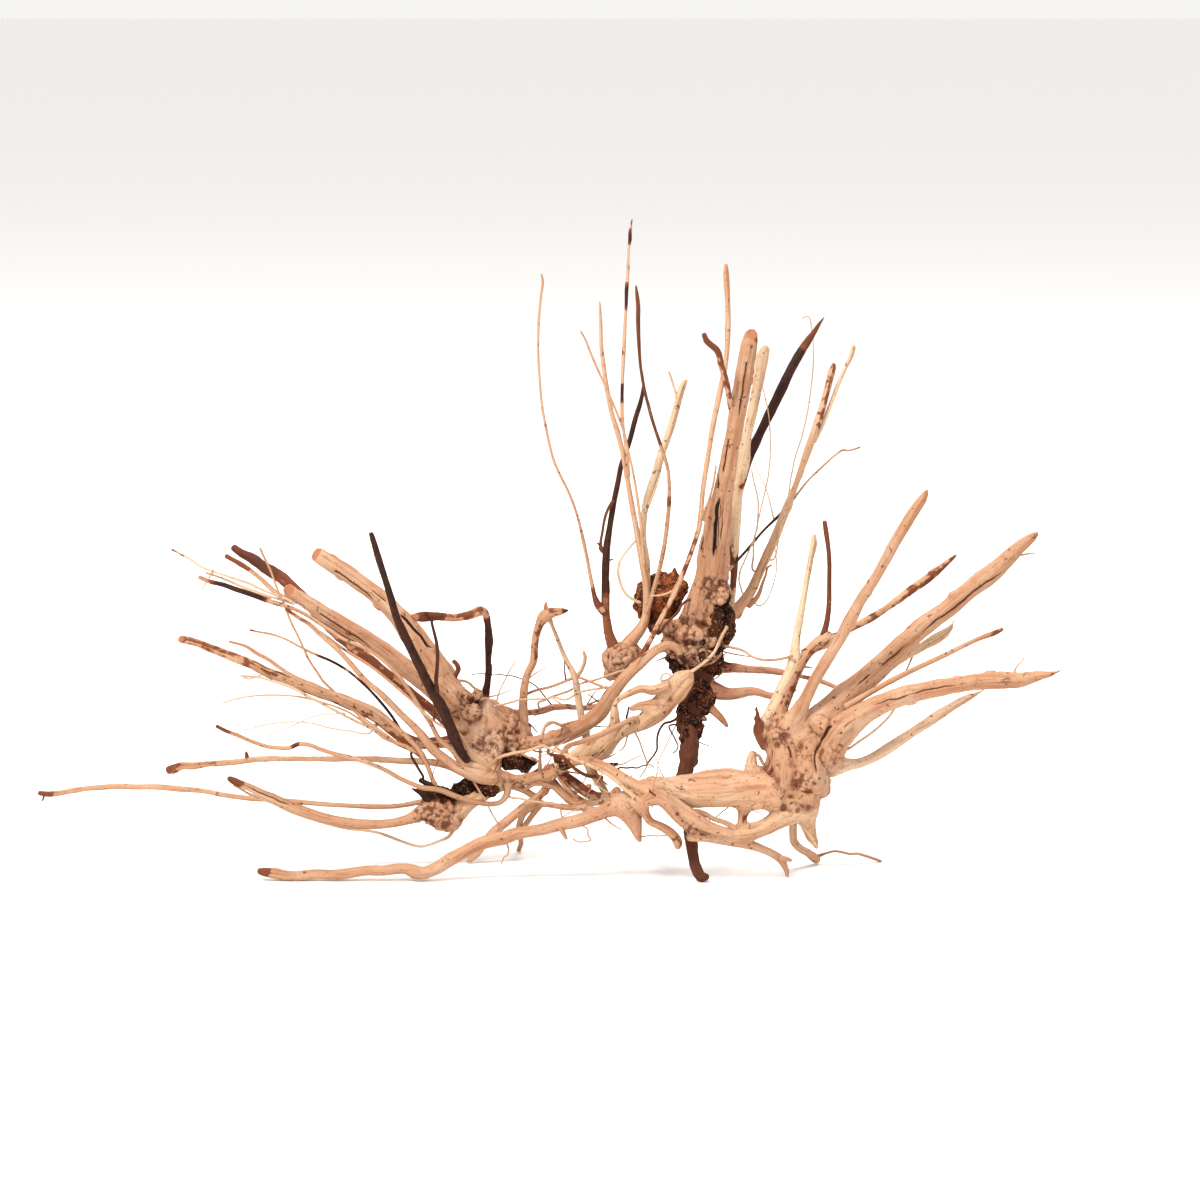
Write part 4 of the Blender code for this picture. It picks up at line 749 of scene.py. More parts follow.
# The left crown: a round burl with stems fanning out to the left, and a small one below it.
leftCrown = {
    "voxel": 0.0011,
    "cracks": (
        (1.6, ((327, 566), (339, 573), (351, 582), (360, 588), (370, 597), (376, 603))),
        (1.2, ((371, 589), (379, 595), (387, 603))),
        (3.2, ((397, 611), (407, 619), (415, 629), (422, 636), (427, 643), (433, 650))),
        (1.4, ((310, 607), (330, 621), (352, 635), (374, 650))),
        (1.3, ((250, 660), (272, 669), (300, 681))),
        (1.2, ((246, 786), (268, 796), (292, 806))),
    ),
    "knots": (
        (441, 683, 5, 1.2), (398, 640, 4, 0.8), (471, 735, 6, 1.6), (497, 752, 6, 1.8), (487, 706, 5, 1.4)),
    "pimples": (
        (504, 744, 22, 20, 1.1), (472, 704, 14, 18, 0.9), (516, 722, 10, 16, 0.8), (439, 812, 24, 20, 1.0),
        (512, 786, 13, 10, 0.9), (484, 744, 16, 12, 0.6)),
    "roots": {
        "leftFirst": ("tan", (), "saw", 1, (18, -8, -14), (
            (316, 554, 15), (330, 563, 16), (345, 572, 16.5), (360, 583, 17), (375, 594, 18), (390, 608, 19),
            (405, 624, 22), (418, 643, 26), (430, 663, 30), (441, 683, 33), (455, 705, 38), (468, 722, 40),
            (480, 738, 36))),
        "leftSecond": ("tan", ((0, 0.12, 0.3),), "saw", 1, (-38, -34, -26), (
            (288, 590, 14), (310, 604, 15), (330, 617, 16), (350, 629, 16.5), (370, 641, 17), (390, 655, 18),
            (405, 668, 20), (420, 678, 21), (436, 690, 22), (452, 704, 24))),
        "leftDark": ("tan", ((0, 1, 0.62), (0, 0.2, 0.8)), "", 1, (40, 10, -2), (
            (233, 547, 7.5), (241, 553, 9), (253, 559, 11), (262, 566, 12), (283, 579, 12), (300, 595, 12),
            (340, 636, 12), (380, 668, 11), (420, 700, 10), (446, 722, 10), (462, 736, 10))),
        "leftSlip": ("tan", ((0, 0.3, 0.5),), "", 1, (34, 20), (
            (226, 556, 4.8), (235, 561, 4.8), (251, 571, 4.8), (262, 580, 4.8), (274, 591, 4.8),
            (290, 600, 4.5), (306, 603, 4.5))),
        "leftPink": ("tan", ((0.03, 0.2, 0.95), (0.2, 0.28, 0.55)), "", 1, (-50, -46, -50, -44), (
            (199, 577, 4), (208, 581, 5), (224, 585, 5), (235, 589, 5), (250, 594, 5), (272, 602, 5),
            (286, 606, 4.5), (299, 611, 4), (325, 627, 4), (345, 640, 3.5), (360, 646, 3.5), (380, 658, 3.5),
            (390, 667, 3.5), (400, 678, 4), (410, 692, 4), (420, 708, 4), (430, 722, 4.5), (440, 740, 5),
            (453, 751, 6), (461, 761, 7), (480, 768, 7), (490, 772, 7))),
        "leftUnder": ("tan", ((0, 0.12, 0.4),), "", 1, (-52, -50, -46), (
            (286, 609, 4), (299, 618, 4), (309, 624, 4.5), (319, 633, 5), (340, 652, 5), (350, 663, 5),
            (365, 680, 5.5), (380, 693, 6), (400, 713, 6.5), (420, 733, 8), (434, 750, 10), (446, 760, 11),
            (457, 768, 12), (469, 773, 13), (483, 777, 14), (494, 778, 14))),
        "leftStrand": ("tan", (), "", 1, (-46, -46, -54), (
            (320, 632, 3), (345, 650, 3), (370, 666, 3), (395, 686, 3), (413, 702, 3), (425, 714, 3),
            (440, 725, 3.5), (449, 729, 4))),
        "leftTwig": ("cream", ((0, 0.12, 0.5),), "", 1, (-24, -46), (
            (172, 549.5, 2.2), (180, 554, 2.2), (190, 559, 2.2), (200, 566, 2.2), (209, 570, 2.2),
            (224, 575, 2.5), (239, 580, 2.5), (251, 584, 2.5), (261, 589, 2.5), (273, 594, 2.5),
            (292, 602, 3))),
        "leftTwigLow": ("cream", (), "", 1, (-26, -46), (
            (206, 573, 2.2), (213, 575, 2.5), (224, 579, 2.5), (239, 585.5, 2.5), (251, 590, 2.5),
            (262, 594, 2.5), (275, 598, 2.5), (294, 604, 3))),
        "leftCross": ("tan", ((0.85, 1, 0.4),), "", 1, (-46, -44, -46, -50), (
            (260, 548, 2.2), (264, 557, 2.2), (269, 567, 2.2), (277, 588, 2.2), (286, 609, 2.4),
            (290, 620, 2.4), (298, 636, 2.4), (303, 647, 2.4), (309, 660, 2.4), (317, 672, 2.4),
            (323, 681, 2.6), (335, 693, 3), (341, 702, 3.5), (348, 706, 3.5), (366, 721, 3.8), (385, 735, 4),
            (396, 743, 4.4), (407, 747.5, 4.8), (417, 753, 5), (424, 758, 5))),
        "leftThin": ("tan", ((0, 0.35, 0.45), (0.35, 0.5, 1), (0.5, 0.58, 0.5), (0.58, 1, 0.95)),
            "", 1, (-36, -34, -16), (
            (250, 630, 2.2), (259, 632, 2.2), (268, 633.5, 2.5), (285, 639, 2.4), (302, 648, 2.8),
            (312, 653, 3), (333, 662, 3), (348, 671, 3), (364, 684.5, 3), (378, 699, 3), (392, 716.5, 3),
            (402, 732, 3), (409, 739, 4))),
        "leftMid": ("tan", (), "", 1, (-62, -52, -50), (
            (229, 641.5, 2.5), (247, 647, 3), (256, 653, 3.5), (269, 660, 3.8), (280, 668, 4),
            (298, 679, 4.5), (310, 684, 4.5), (330, 692, 4.5), (350, 699, 4.5), (380, 713, 4.5),
            (395, 726, 4.5), (410, 740, 5), (420, 752, 5), (427, 765, 4.5), (432, 778, 4.5), (437, 789, 5))),
        "leftMottled": ("tan", ((0, 1, 0.46),), "saw", 1, (-18, -18, -14), (
            (180, 639, 8.5), (196, 642.5, 8.5), (208, 647, 8.5), (220, 652, 9), (235, 658, 10),
            (251, 664, 10), (267, 672, 10.5), (283, 678, 10.5), (300, 685, 11), (320, 692.5, 11),
            (340, 700, 11.5), (358, 708, 11.5), (375, 717, 11), (390, 728, 11.5), (402, 737, 12),
            (416, 743, 12), (432, 743, 12), (448, 742, 12), (468, 740, 12))),
        "leftPale": ("cream", (), "", 1, (-26, -26, -15), (
            (242, 676, 2.5), (262, 678, 2.5), (275, 682, 2.8), (288, 686, 2.8), (309, 697, 3), (332, 709, 3),
            (353, 720, 3), (375, 731, 3), (385, 739, 3), (399, 743, 4), (412, 743, 5))),
        "leftArch": ("tan", ((0, 0.05, 0.7), (0.24, 0.27, 0.9)), "", 1, (-78, -66, -40), (
            (216.5, 726, 3.5), (226, 731, 3.8), (238, 735.5, 4), (248, 740, 4), (259, 744, 4), (269, 747, 4),
            (279, 748, 4), (289, 748, 4.5), (299, 744, 4.5), (307, 744.5, 4.5), (321, 749.5, 4.5),
            (335, 754, 4.5), (348, 757, 4.5), (372, 764.5, 4.5), (385, 770, 4.5), (400, 778.5, 4.5),
            (410, 783, 4.5), (420, 787, 5), (440, 790, 5.4), (455, 796, 5.7), (470, 801, 5.6),
            (481, 803, 5.4), (492, 804, 5.6), (500, 802.5, 5.5), (506, 796, 7), (508, 785, 9))),
        "leftKnob": ("tan", ((0, 0.05, 0.55), (0.1, 0.2, 0.45)), "", 1, (44, 16, -8, -30), (
            (168, 770, 9), (174, 769, 10.5), (181, 766, 8.5), (192, 766, 8), (208, 764, 7), (224, 763, 7),
            (240, 761.5, 6.6), (256, 759.5, 6.4), (299, 759, 6.4), (327, 759, 6.6), (353, 759, 6.8),
            (375, 759, 7), (396, 760.5, 7.2), (417, 761.5, 7.5), (433, 762.5, 8), (448, 766, 8),
            (462, 772, 9), (478, 778, 9))),
        "leftLow": ("tan", ((0, 0.08, 0.7),), "", 1, (-64, -58, -50), (
            (228, 778, 6), (232, 780, 8), (240, 784, 8.7), (250, 787.5, 9), (260, 793, 10), (270, 797.5, 11),
            (290, 806.5, 12), (310, 814, 12), (330, 819.5, 11.5), (350, 823.5, 11), (370, 824.5, 10),
            (385, 824, 9.8), (400, 821.5, 10), (412, 818, 11), (421, 813.5, 13), (432, 812, 16))),
        "leftLong": ("tan", ((0, 0.04, 0.6), (0.04, 1, 0.3)), "", 1, (-24, -26, -36), (
            (39, 793, 5), (49, 794, 5.9), (60, 793, 5.6), (76, 790, 5.5), (94, 788, 5.5), (121, 786.6, 5.5),
            (137, 787, 5.7), (158, 787, 5.9), (179, 789, 5.6), (203, 791, 5.3), (224, 795, 5.3),
            (251, 798.5, 5.3), (275, 800, 5.3), (299, 802, 5.3), (330, 804.7, 5.3), (350, 805.7, 5.3),
            (383, 806.7, 5.3), (397, 806, 5.3), (410, 804, 5.5), (421, 802, 6), (432, 803, 8))),
        "leftSag": ("cream", ((0, 0.1, 0.4),), "", 1, (-58, -46, -46, -46), (
            (234, 785, 3), (251, 795, 3), (272, 803, 3), (300, 815, 2.8), (350, 829, 2.8), (366, 830.5, 2.8),
            (379, 833, 2.8), (390, 837, 3), (403, 842, 3), (414, 845.5, 3), (422, 846.5, 3), (430, 844.5, 3),
            (441, 840.5, 3), (449, 836.5, 3.5), (452.5, 831, 4), (453.5, 824, 5), (452, 817, 6))),
        "darkRod": ("brown", ((0, 1, 0.92),), "", 1, (-98, -78, -60, -48), (
            (371, 533, 5.5), (374, 543, 6.5), (380, 563, 7), (386, 582, 7.2), (391, 598, 7.6),
            (395.5, 614, 8), (398.5, 622, 8.5), (403.5, 633, 8.8), (409, 645, 9), (420, 667, 10),
            (431, 689, 11), (443, 711, 12), (448, 722, 12.5), (455.5, 740, 11), (460, 750, 9),
            (468, 762, 7))),
        "darkRodRoot": ("pale", (), "", 1, (-42, -36), (
            (458, 735, 7), (463, 742, 9), (468, 750, 10.5), (475, 758, 11), (482, 766, 12), (490, 773, 13))),
        "darkTwig": ("brown", ((0, 1, 0.85),), "", 1, (-70, -66, -62), (
            (425, 612.5, 2.4), (431, 618, 2.8), (432, 624, 2.8), (434, 632, 3), (436, 640, 3.3),
            (437.4, 650, 3.6), (437, 668, 4), (436, 680, 4.5), (437, 692, 5))),
        "elbow": ("tan", ((0, 0.16, 0.75), (0.16, 0.42, 0.5), (0.42, 1, 0.95)),
            "saw", 1, (-70, -45, -12, 0), (
            (414, 617, 7), (417, 617, 8.5), (440, 616.4, 9), (455, 617.8, 8), (465, 616, 9), (473, 614, 9.5),
            (480, 611, 10), (484.5, 612, 8), (487, 620, 7), (488.5, 630, 8), (489, 640, 9), (488.4, 660, 7.2),
            (488.3, 672, 6.8), (487.5, 683, 7), (485.5, 692, 7), (485, 700, 8), (488, 714, 9))),
        "leftStub": ("brown", ((0, 1, 0.6),), "", 1, (-12, -14), (
            (452, 683, 6), (456.5, 674, 4.5), (458.5, 669, 5), (456.5, 664, 4.5), (453.5, 661, 4))),
        "leftBridge": ("tan", (), "", 1, (-34, -38, -60), (
            (486, 772, 16), (496, 777, 16), (507, 781, 14), (518, 781, 12.5), (530, 778.5, 12),
            (540, 776, 12), (550, 774, 12), (562, 768, 10), (575, 762, 9), (592, 760, 9))),
        "leftNeck": ("pale", (), "", 1, (-44, -40), (
            (440, 810, 22), (455, 810, 20), (470, 801, 16), (483, 794, 14), (498, 784, 14))),
        "leftDrop": ("tan", (), "", 1, (-32, -50, -88), (
            (546, 776, 9), (555, 786, 9), (562, 793, 9), (570, 799, 9.5), (578, 804, 9), (586, 809, 9),
            (598, 812, 10))),
        "leftBrown": ("tan", ((0, 0.6, 0.5),), "", 1, (-34, -44, -62, -88), (
            (556, 770, 9), (569, 779, 10), (578, 786, 10.5), (587, 792.5, 10.5), (597, 797, 11),
            (608, 797, 10), (620, 797, 8), (634, 798, 8))),
        "soilSpike": ("brown", ((0, 1, 1),), "", 1, (-52, -46), (
            (411, 788, 2), (422, 793, 7), (436, 799, 11))),
        "soilRidge": ("brown", ((0, 1, 1),), "", 1, (-52, -48), (
            (420, 780, 5), (430, 785, 6), (440, 789, 6), (452, 793, 7))),
    },
    "burls": {
        "leftBurl": ("wood", 484, 729, 26, 33, 25, -14),
        "leftBurlRight": ("wood", 506, 736, 22, 22, 20, -12),
        "leftBurlEdge": ("wood", 519, 742, 12, 14, 12, -8),
        "leftBurlLow": ("wood", 474, 746, 18, 18, 20, -22),
        "leftBurlTop": ("wood", 498, 714, 14, 11, 12, -6),
        "leftKnob": ("wood", 470, 712, 9, 10, 8, -29),
        "leftKnobHigh": ("wood", 476, 694, 8, 8, 8, -22),
        "leftKnobSide": ("wood", 459, 701, 7, 8, 7, -26),
        "leftKnobLow": ("wood", 508, 752, 9, 8, 8, -22),
        "leftKnobRight": ("wood", 521, 734, 8, 9, 8, -12),
        "leftKnobFront": ("wood", 496, 743, 9, 8, 8, -28),
        "leftSoil": ("soil", 520, 762, 20, 9, 14, -8),
        "leftJoint": ("wood", 492, 776, 13, 11, 14, -36),
        "leftBurlNeck": ("wood", 487, 760, 15, 17, 15, -28),
        "lowBurl": ("wood", 439, 813, 20, 15, 15, -46),
        "lowBurlEdge": ("wood", 452, 816, 10, 12, 12, -45),
        "lowSoil": ("soil", 474, 789, 24, 10, 12, -36),
        "lowSoilLeft": ("soil", 440, 797, 18, 10, 12, -42),
    },
}

# The middle crown: a pimply burl on a dark taproot, with tall stems standing up from it.
middleCrown = {
    "voxel": 0.0011,
    "cracks": (
        (2.2, ((717, 473), (716.5, 481), (717, 490))),
        (3.6, ((720, 495), (717, 505), (716, 520), (714.5, 540), (713.5, 560))),
        (3.4, ((703, 518), (701, 535), (700, 553))),
        (1.4, ((748, 350), (743, 385), (738, 420))),
        (1.3, ((729, 430), (726, 455), (722, 480))),
        (1.2, ((724, 505), (722, 530), (721, 556))),
    ),
    "knots": (
        (655, 650, 6, 1.8), (700, 632, 6, 1.6), (672, 646, 7, -1.8), (694, 655, 5, -1.6), (752, 372, 4, 0.7),
        (614, 655, 5, 1.2)),
    "pimples": (
        (689, 641, 34, 26, 1.1), (716, 590, 18, 16, 1.0), (621, 660, 20, 22, 0.9), (703, 620, 14, 20, 0.5)),
    "roots": {
        "whiteTwig": ("cream", (), "", 1, (-36, -42), (
            (727, 626.5, 3), (720, 640, 3), (713.5, 653, 3), (708.5, 658.5, 3), (702, 664, 3),
            (696, 668.5, 3.2), (688, 674, 5))),
        "taproot": ("brown", ((0, 1, 0.8),), "", 1, (-6, -14, -30, -50, -66, -74, -80, -91.5), (
            (702, 655, 26), (700, 672, 24), (694, 700, 25), (690, 712, 26), (689, 724, 23), (690, 734, 20),
            (690, 746, 19), (688, 760, 17), (685, 770, 15.5), (682, 780, 14), (684, 795, 13), (688, 815, 13),
            (690, 833, 12.5), (691.5, 845, 12), (693, 856, 11.5), (695.5, 866, 11), (699, 874, 11),
            (703, 878, 10), (707, 876, 7))),
        "taprootStub": ("pink", ((0, 0.3, 0.7),), "", 1, (-26, -36), (
            (698, 696, 14), (708, 705, 9.5), (714, 711, 9), (720, 717, 8), (725, 723, 6), (728, 727.5, 3.5))),
        "sideUpper": ("pink", ((0, 0.2, 0.5),), "", 1, (0, -20, -44, -66), (
            (708, 666, 18), (724, 667.5, 12), (736, 668, 10), (750, 669.5, 8.3), (766, 670.5, 7.8),
            (786, 673, 6), (800, 676, 5.5), (812, 679, 5.5), (823, 682, 5.5), (832, 685.5, 5.5),
            (844, 693, 6))),
        "sideLower": ("pink", ((0, 0.12, 0.5),), "", 1, (-8, -24, -52, -70), (
            (700, 690, 20), (716, 691, 16), (726, 693.5, 12.5), (740, 693, 11.5), (750, 691.5, 10),
            (760, 692.5, 8.5), (768, 695.5, 7.5), (776, 696, 7.5), (786, 697, 8))),
        "sideHair": ("tan", (), "", 1, (-6, -30, -66), (
            (714, 643, 5), (728, 646.7, 3), (738, 648.8, 2.8), (745, 651.5, 2.6), (750.7, 655.7, 2.6),
            (757, 658.5, 2.6), (767, 660, 2.6), (784, 658.2, 2.6), (792, 656, 3))),
        "stemFarLeft": ("peach", ((0.9, 1, 0.6),), "", 1, (-70, -40, -6), (
            (541.3, 274, 1.8), (542.5, 280, 2.3), (541, 295, 2.3), (539.3, 312, 2.4), (538, 348, 2.4),
            (540, 385, 2.5), (541.5, 402, 2.5), (547, 433, 2.6), (551, 451, 2.7), (555, 464, 2.8),
            (561, 477, 2.9), (568, 491, 3), (574, 506, 3.1), (578.5, 520, 3.2), (583, 540, 3.4),
            (587, 558, 3.6), (590, 575, 3.9), (592.5, 587, 4.4), (595, 598, 5.5), (598, 605, 8),
            (604, 612, 9))),
        "stemDark": ("brown", ((0, 0.78, 0.9), (0.78, 0.85, 0.5)), "", 1, (50, 20, 0, -10), (
            (643.5, 386, 3), (642, 396, 4), (635, 420, 4.8), (629.5, 441, 4.8), (625.5, 453, 4.8),
            (621, 466, 5), (618.5, 480, 5.2), (614, 502, 6), (610, 526, 6.3), (606.5, 550, 7.4),
            (605.5, 574, 8), (605.3, 598, 8), (605.5, 610, 8), (607, 622, 8.3), (609, 634, 9.2),
            (612.5, 645, 12), (618, 658, 17))),
        "stemDarkTwig": ("brown", ((0, 1, 0.7),), "", 1, (8, 4), (
            (613, 501, 3.5), (608.5, 508, 3), (606, 514, 3), (602, 534, 2.8), (600.5, 543, 3.2),
            (601, 549, 5), (605, 553, 5))),
        "stemSecond": ("peach", (), "", 1, (-34, -14, -5), (
            (580.5, 331, 1.8), (584, 337, 2), (591, 354, 2.2), (606, 388, 2.5), (620, 421, 2.5),
            (623.5, 431, 2.5), (628, 450, 2.5), (633, 472, 2.4), (637, 495, 2.6), (640, 518, 3),
            (642, 535, 4), (643, 554, 5), (644, 566, 5))),
        "stemThird": ("peach", ((0, 0.1, 0.3),), "", 1, (16, 6, -4, -8), (
            (599.7, 302, 1.4), (600, 309, 2.6), (600.5, 320, 3.3), (601.7, 350, 3.9), (604.5, 372, 4.4),
            (607.5, 392, 4.2), (611.5, 412, 4.6), (617.5, 432, 4.8), (622.5, 452, 4.8), (626.5, 474, 5),
            (631, 500, 5.5), (636, 528, 6), (641.5, 560, 6.3), (643.5, 570, 6.8), (646.5, 594, 7.5),
            (646.7, 606, 8), (645.5, 617, 9), (641, 628, 11), (634, 637, 12.5), (627, 646, 15),
            (620, 656, 20))),
        "stemBanded": ("peach", ((0, 0.02, 0.5), (0.04, 0.1, 1), (0.1, 0.25, 0.45), (0.25, 0.35, 1),
            (0.5, 0.63, 0.55), (0.63, 0.72, 0.95), (0.72, 1, 0.4)),
            "", 1, (30, 16, -1), (
            (632, 219.5, 1.4), (631, 226, 2.2), (630, 233, 3.4), (630, 239, 3.8), (629, 246, 2.8),
            (628, 270, 3.2), (626.5, 292, 3.8), (626.3, 301, 3.3), (625, 325, 3.3), (624.3, 340, 3.5),
            (622.5, 378, 3.4), (622, 403, 3.2), (622, 414, 3.3), (623.8, 432, 3), (627, 457, 3),
            (628.5, 476, 4))),
        "stemBowed": ("tan", ((0, 0.5, 0.72), (0.5, 0.75, 0.4)), "", 1, (-50, -30, -16, -10), (
            (636, 286, 1.8), (637, 295, 3.5), (638, 305, 3.8), (638, 320, 3.8), (638.7, 340, 3.6),
            (641, 370, 3), (644.5, 390, 3.3), (650, 412, 3.2), (658, 438, 3.1), (665, 459, 3.5),
            (668, 470, 3.5), (669, 483, 3.6), (669, 500, 3.9), (666.8, 527, 4.1), (662.5, 555, 4.4),
            (657, 578, 4.4), (653.5, 590, 4.6), (650.5, 600, 5), (647, 612, 6))),
        "stemPale": ("yellow", (), "", 1, (45, 20, -2), (
            (687, 380, 4), (684, 383, 7), (681, 391, 7.8), (675.5, 411, 8), (669, 433, 8.3), (661, 454, 8),
            (653.5, 478, 7.5), (646.5, 500, 8), (644.3, 512, 8), (643, 525, 8), (643, 540, 8), (645, 550, 7),
            (648, 570, 6), (648, 582, 6), (647, 597, 7))),
        "stemPaleSide": ("yellow", (), "", 1, (34, 12), (
            (668, 440, 5), (662.5, 458, 3.3), (659.5, 472, 3), (656.5, 484, 2.8), (652, 497, 2.8),
            (645, 512, 4))),
        "stemPaleTwig": ("cream", (), "", 1, (44, 38), (
            (669, 372, 2), (672, 381, 2.2), (675, 390, 2.3), (678, 402, 4))),
        "stemLoop": ("yellow", (), "", 1, (-2, -6, -2), (
            (640, 536, 3), (630, 547, 2.6), (623, 556, 2.6), (619, 563, 3), (618, 572, 3.2), (619.5, 580, 3),
            (623, 590, 3), (628, 596, 2.8), (634, 600, 3), (643, 604, 4))),
        "stemWhip": ("peach", ((0.58, 1, 0.46),), "", 1, (-18, -26, -24, -30, -36), (
            (726, 264.5, 3), (726, 269, 4.5), (727.5, 300, 5.3), (728, 320, 5.3), (727.5, 342, 5.3),
            (726, 360, 5.2), (720, 392, 5.2), (714, 420, 5.3), (708.5, 453, 5), (703.5, 485, 4.8),
            (700.5, 515, 5), (699, 528, 4.8), (695.5, 540, 4.7), (688, 561, 4.8), (679, 583, 5.2),
            (668, 606, 5.5), (658, 625, 5.8), (648.5, 643, 5.8), (643, 653, 6.2), (637, 662, 7.5),
            (629, 673, 9))),
        "stemMain": ("tan", ((0, 0.04, 0.35),), "saw", 0.9, (-28, -20, -8, 0), (
            (752, 333, 12), (750, 340, 16), (747.5, 355, 17), (744, 375, 17.2), (740, 400, 17.4),
            (732.5, 440, 16.6), (729, 460, 17), (725.5, 480, 18.5), (721.5, 500, 22), (718, 520, 27),
            (715.5, 540, 30), (713, 560, 32), (711, 578, 31), (706, 594, 32), (704, 610, 42), (703, 626, 50),
            (700, 642, 54))),
        "stemMainRight": ("yellow", ((0.72, 0.9, 0.6),), "", 1, (8, 10, 12), (
            (766, 347, 8), (764, 352, 10.5), (759, 378, 11), (751, 418, 10), (742, 460, 10.5),
            (738.5, 480, 11), (736, 500, 13), (734, 520, 14), (733, 540, 14), (733.5, 556, 11),
            (734, 570, 8.5), (733, 585, 7), (731, 600, 7), (722, 614, 12))),
        "stemPointed": ("brown", ((0, 0.2, 0.72), (0.2, 1, 0.95)), "", 1, (46, 34, 22, 7), (
            (824.5, 317, 2), (821, 321.5, 3.5), (815.5, 330, 6), (804.5, 346, 9), (799, 355, 9.8),
            (784, 384, 10), (773, 407, 10), (761, 431, 9.4), (751, 453, 8.8), (747.5, 463, 6.5),
            (744.5, 473, 4.8), (740, 487, 4))),
        "stemBent": ("peach", ((0, 0.25, 0.6), (0.25, 1, 0.5)), "", 1, (-48, -40, -12), (
            (704, 334, 4.5), (706, 340, 6), (711, 345, 6.2), (716, 349, 6.2), (721.5, 366, 6.2),
            (727, 386, 6.2), (731, 408, 5.5), (736, 424, 5))),
        "stemBundle": ("peach", ((0, 0.25, 0.45),), "", 1, (92, 60, 30, 8), (
            (834, 364, 5), (832.5, 369, 7.5), (829.5, 380, 7.8), (824.5, 400, 8), (815, 430, 9),
            (808, 450, 8.6), (801, 470, 7.4), (794, 490, 7), (790, 500, 8), (782, 520, 8.4), (773.5, 540, 9),
            (764.7, 560, 9), (756, 580, 10.2), (751.3, 590, 11), (745, 600, 11.5), (737, 610, 10.5),
            (729, 619, 12), (720, 630, 14))),
        "stemBundlePale": ("yellow", (), "", 1, (104, 86, 68), (
            (853.5, 346.5, 4.5), (852, 353, 4.8), (845, 369, 4), (838, 385, 4), (831, 403, 4.8),
            (824, 421, 5), (814, 442, 5))),
        "stemBlackTwig": ("tan", ((0, 0.3, 0.3), (0.38, 0.9, 0.98)), "", 1, (70, 56, 42, -12), (
            (860, 447.3, 2), (847, 450.5, 2.2), (842.5, 450, 3), (838, 453, 2.4), (822, 467, 2.5),
            (808.5, 480, 2.4), (793.5, 499, 2.8), (786, 508.5, 3), (778.5, 516, 3), (768, 526, 2.8),
            (745, 552, 3), (722, 577, 4))),
        "stemBundleTwig": ("tan", (), "", 1, (24, 16), (
            (771.5, 565, 2), (768, 567, 2.2), (766, 574, 2.6), (763, 582, 3.2), (757, 597, 5.5),
            (748, 606, 7))),
    },
    "burls": {
        "middleBurl": ("wood", 688, 640, 29, 21, 22, -12),
        "middleBurlRight": ("wood", 700, 648, 20, 17, 16, -16),
        "middleBurlLeft": ("wood", 672, 630, 15, 14, 14, -8),
        "middleKnot": ("wood", 716, 589, 14, 12, 14, -8),
        "middleKnob": ("wood", 668, 627, 8, 8, 7, -21),
        "middleKnobUp": ("wood", 681, 634, 7, 8, 7, -25),
        "middleKnobMid": ("wood", 697, 633, 8, 9, 7, -27),
        "middleKnobRight": ("wood", 711, 641, 8, 8, 7, -25),
        "middleKnobLow": ("wood", 690, 652, 8, 7, 7, -26),
        "middleKnobEnd": ("wood", 704, 656, 8, 8, 7, -26),
        "highKnob": ("wood", 711, 585, 7, 7, 6, -16),
        "highKnobRight": ("wood", 723, 591, 7, 7, 6, -15),
        "highKnobLow": ("wood", 716, 599, 7, 6, 6, -16),
        "middleBark": ("soil", 720, 626, 15, 26, 16, 0),
        "middleBarkLow": ("soil", 712, 660, 13, 17, 14, -4),
        "middleHollow": ("soil", 683, 662, 17, 13, 12, -4),
        "spongy": ("rotten", 661, 597, 19, 24, 14, 8),
        "spongyRight": ("rotten", 674, 592, 11, 20, 11, 8),
        "spongyLeft": ("rotten", 643, 601, 8, 18, 9, 2),
        "spongyLow": ("rotten", 655, 620, 9, 14, 10, 2),
        "spongySpur": ("rotten", 675, 576, 3.5, 8, 4, 8),
        "smallBurl": ("wood", 620, 660, 17, 16, 14, -10),
        "smallBurlLeft": ("wood", 612, 674, 8, 10, 9, -10),
        "smallBurlRight": ("wood", 629, 653, 11, 10, 10, -8),
    },
}

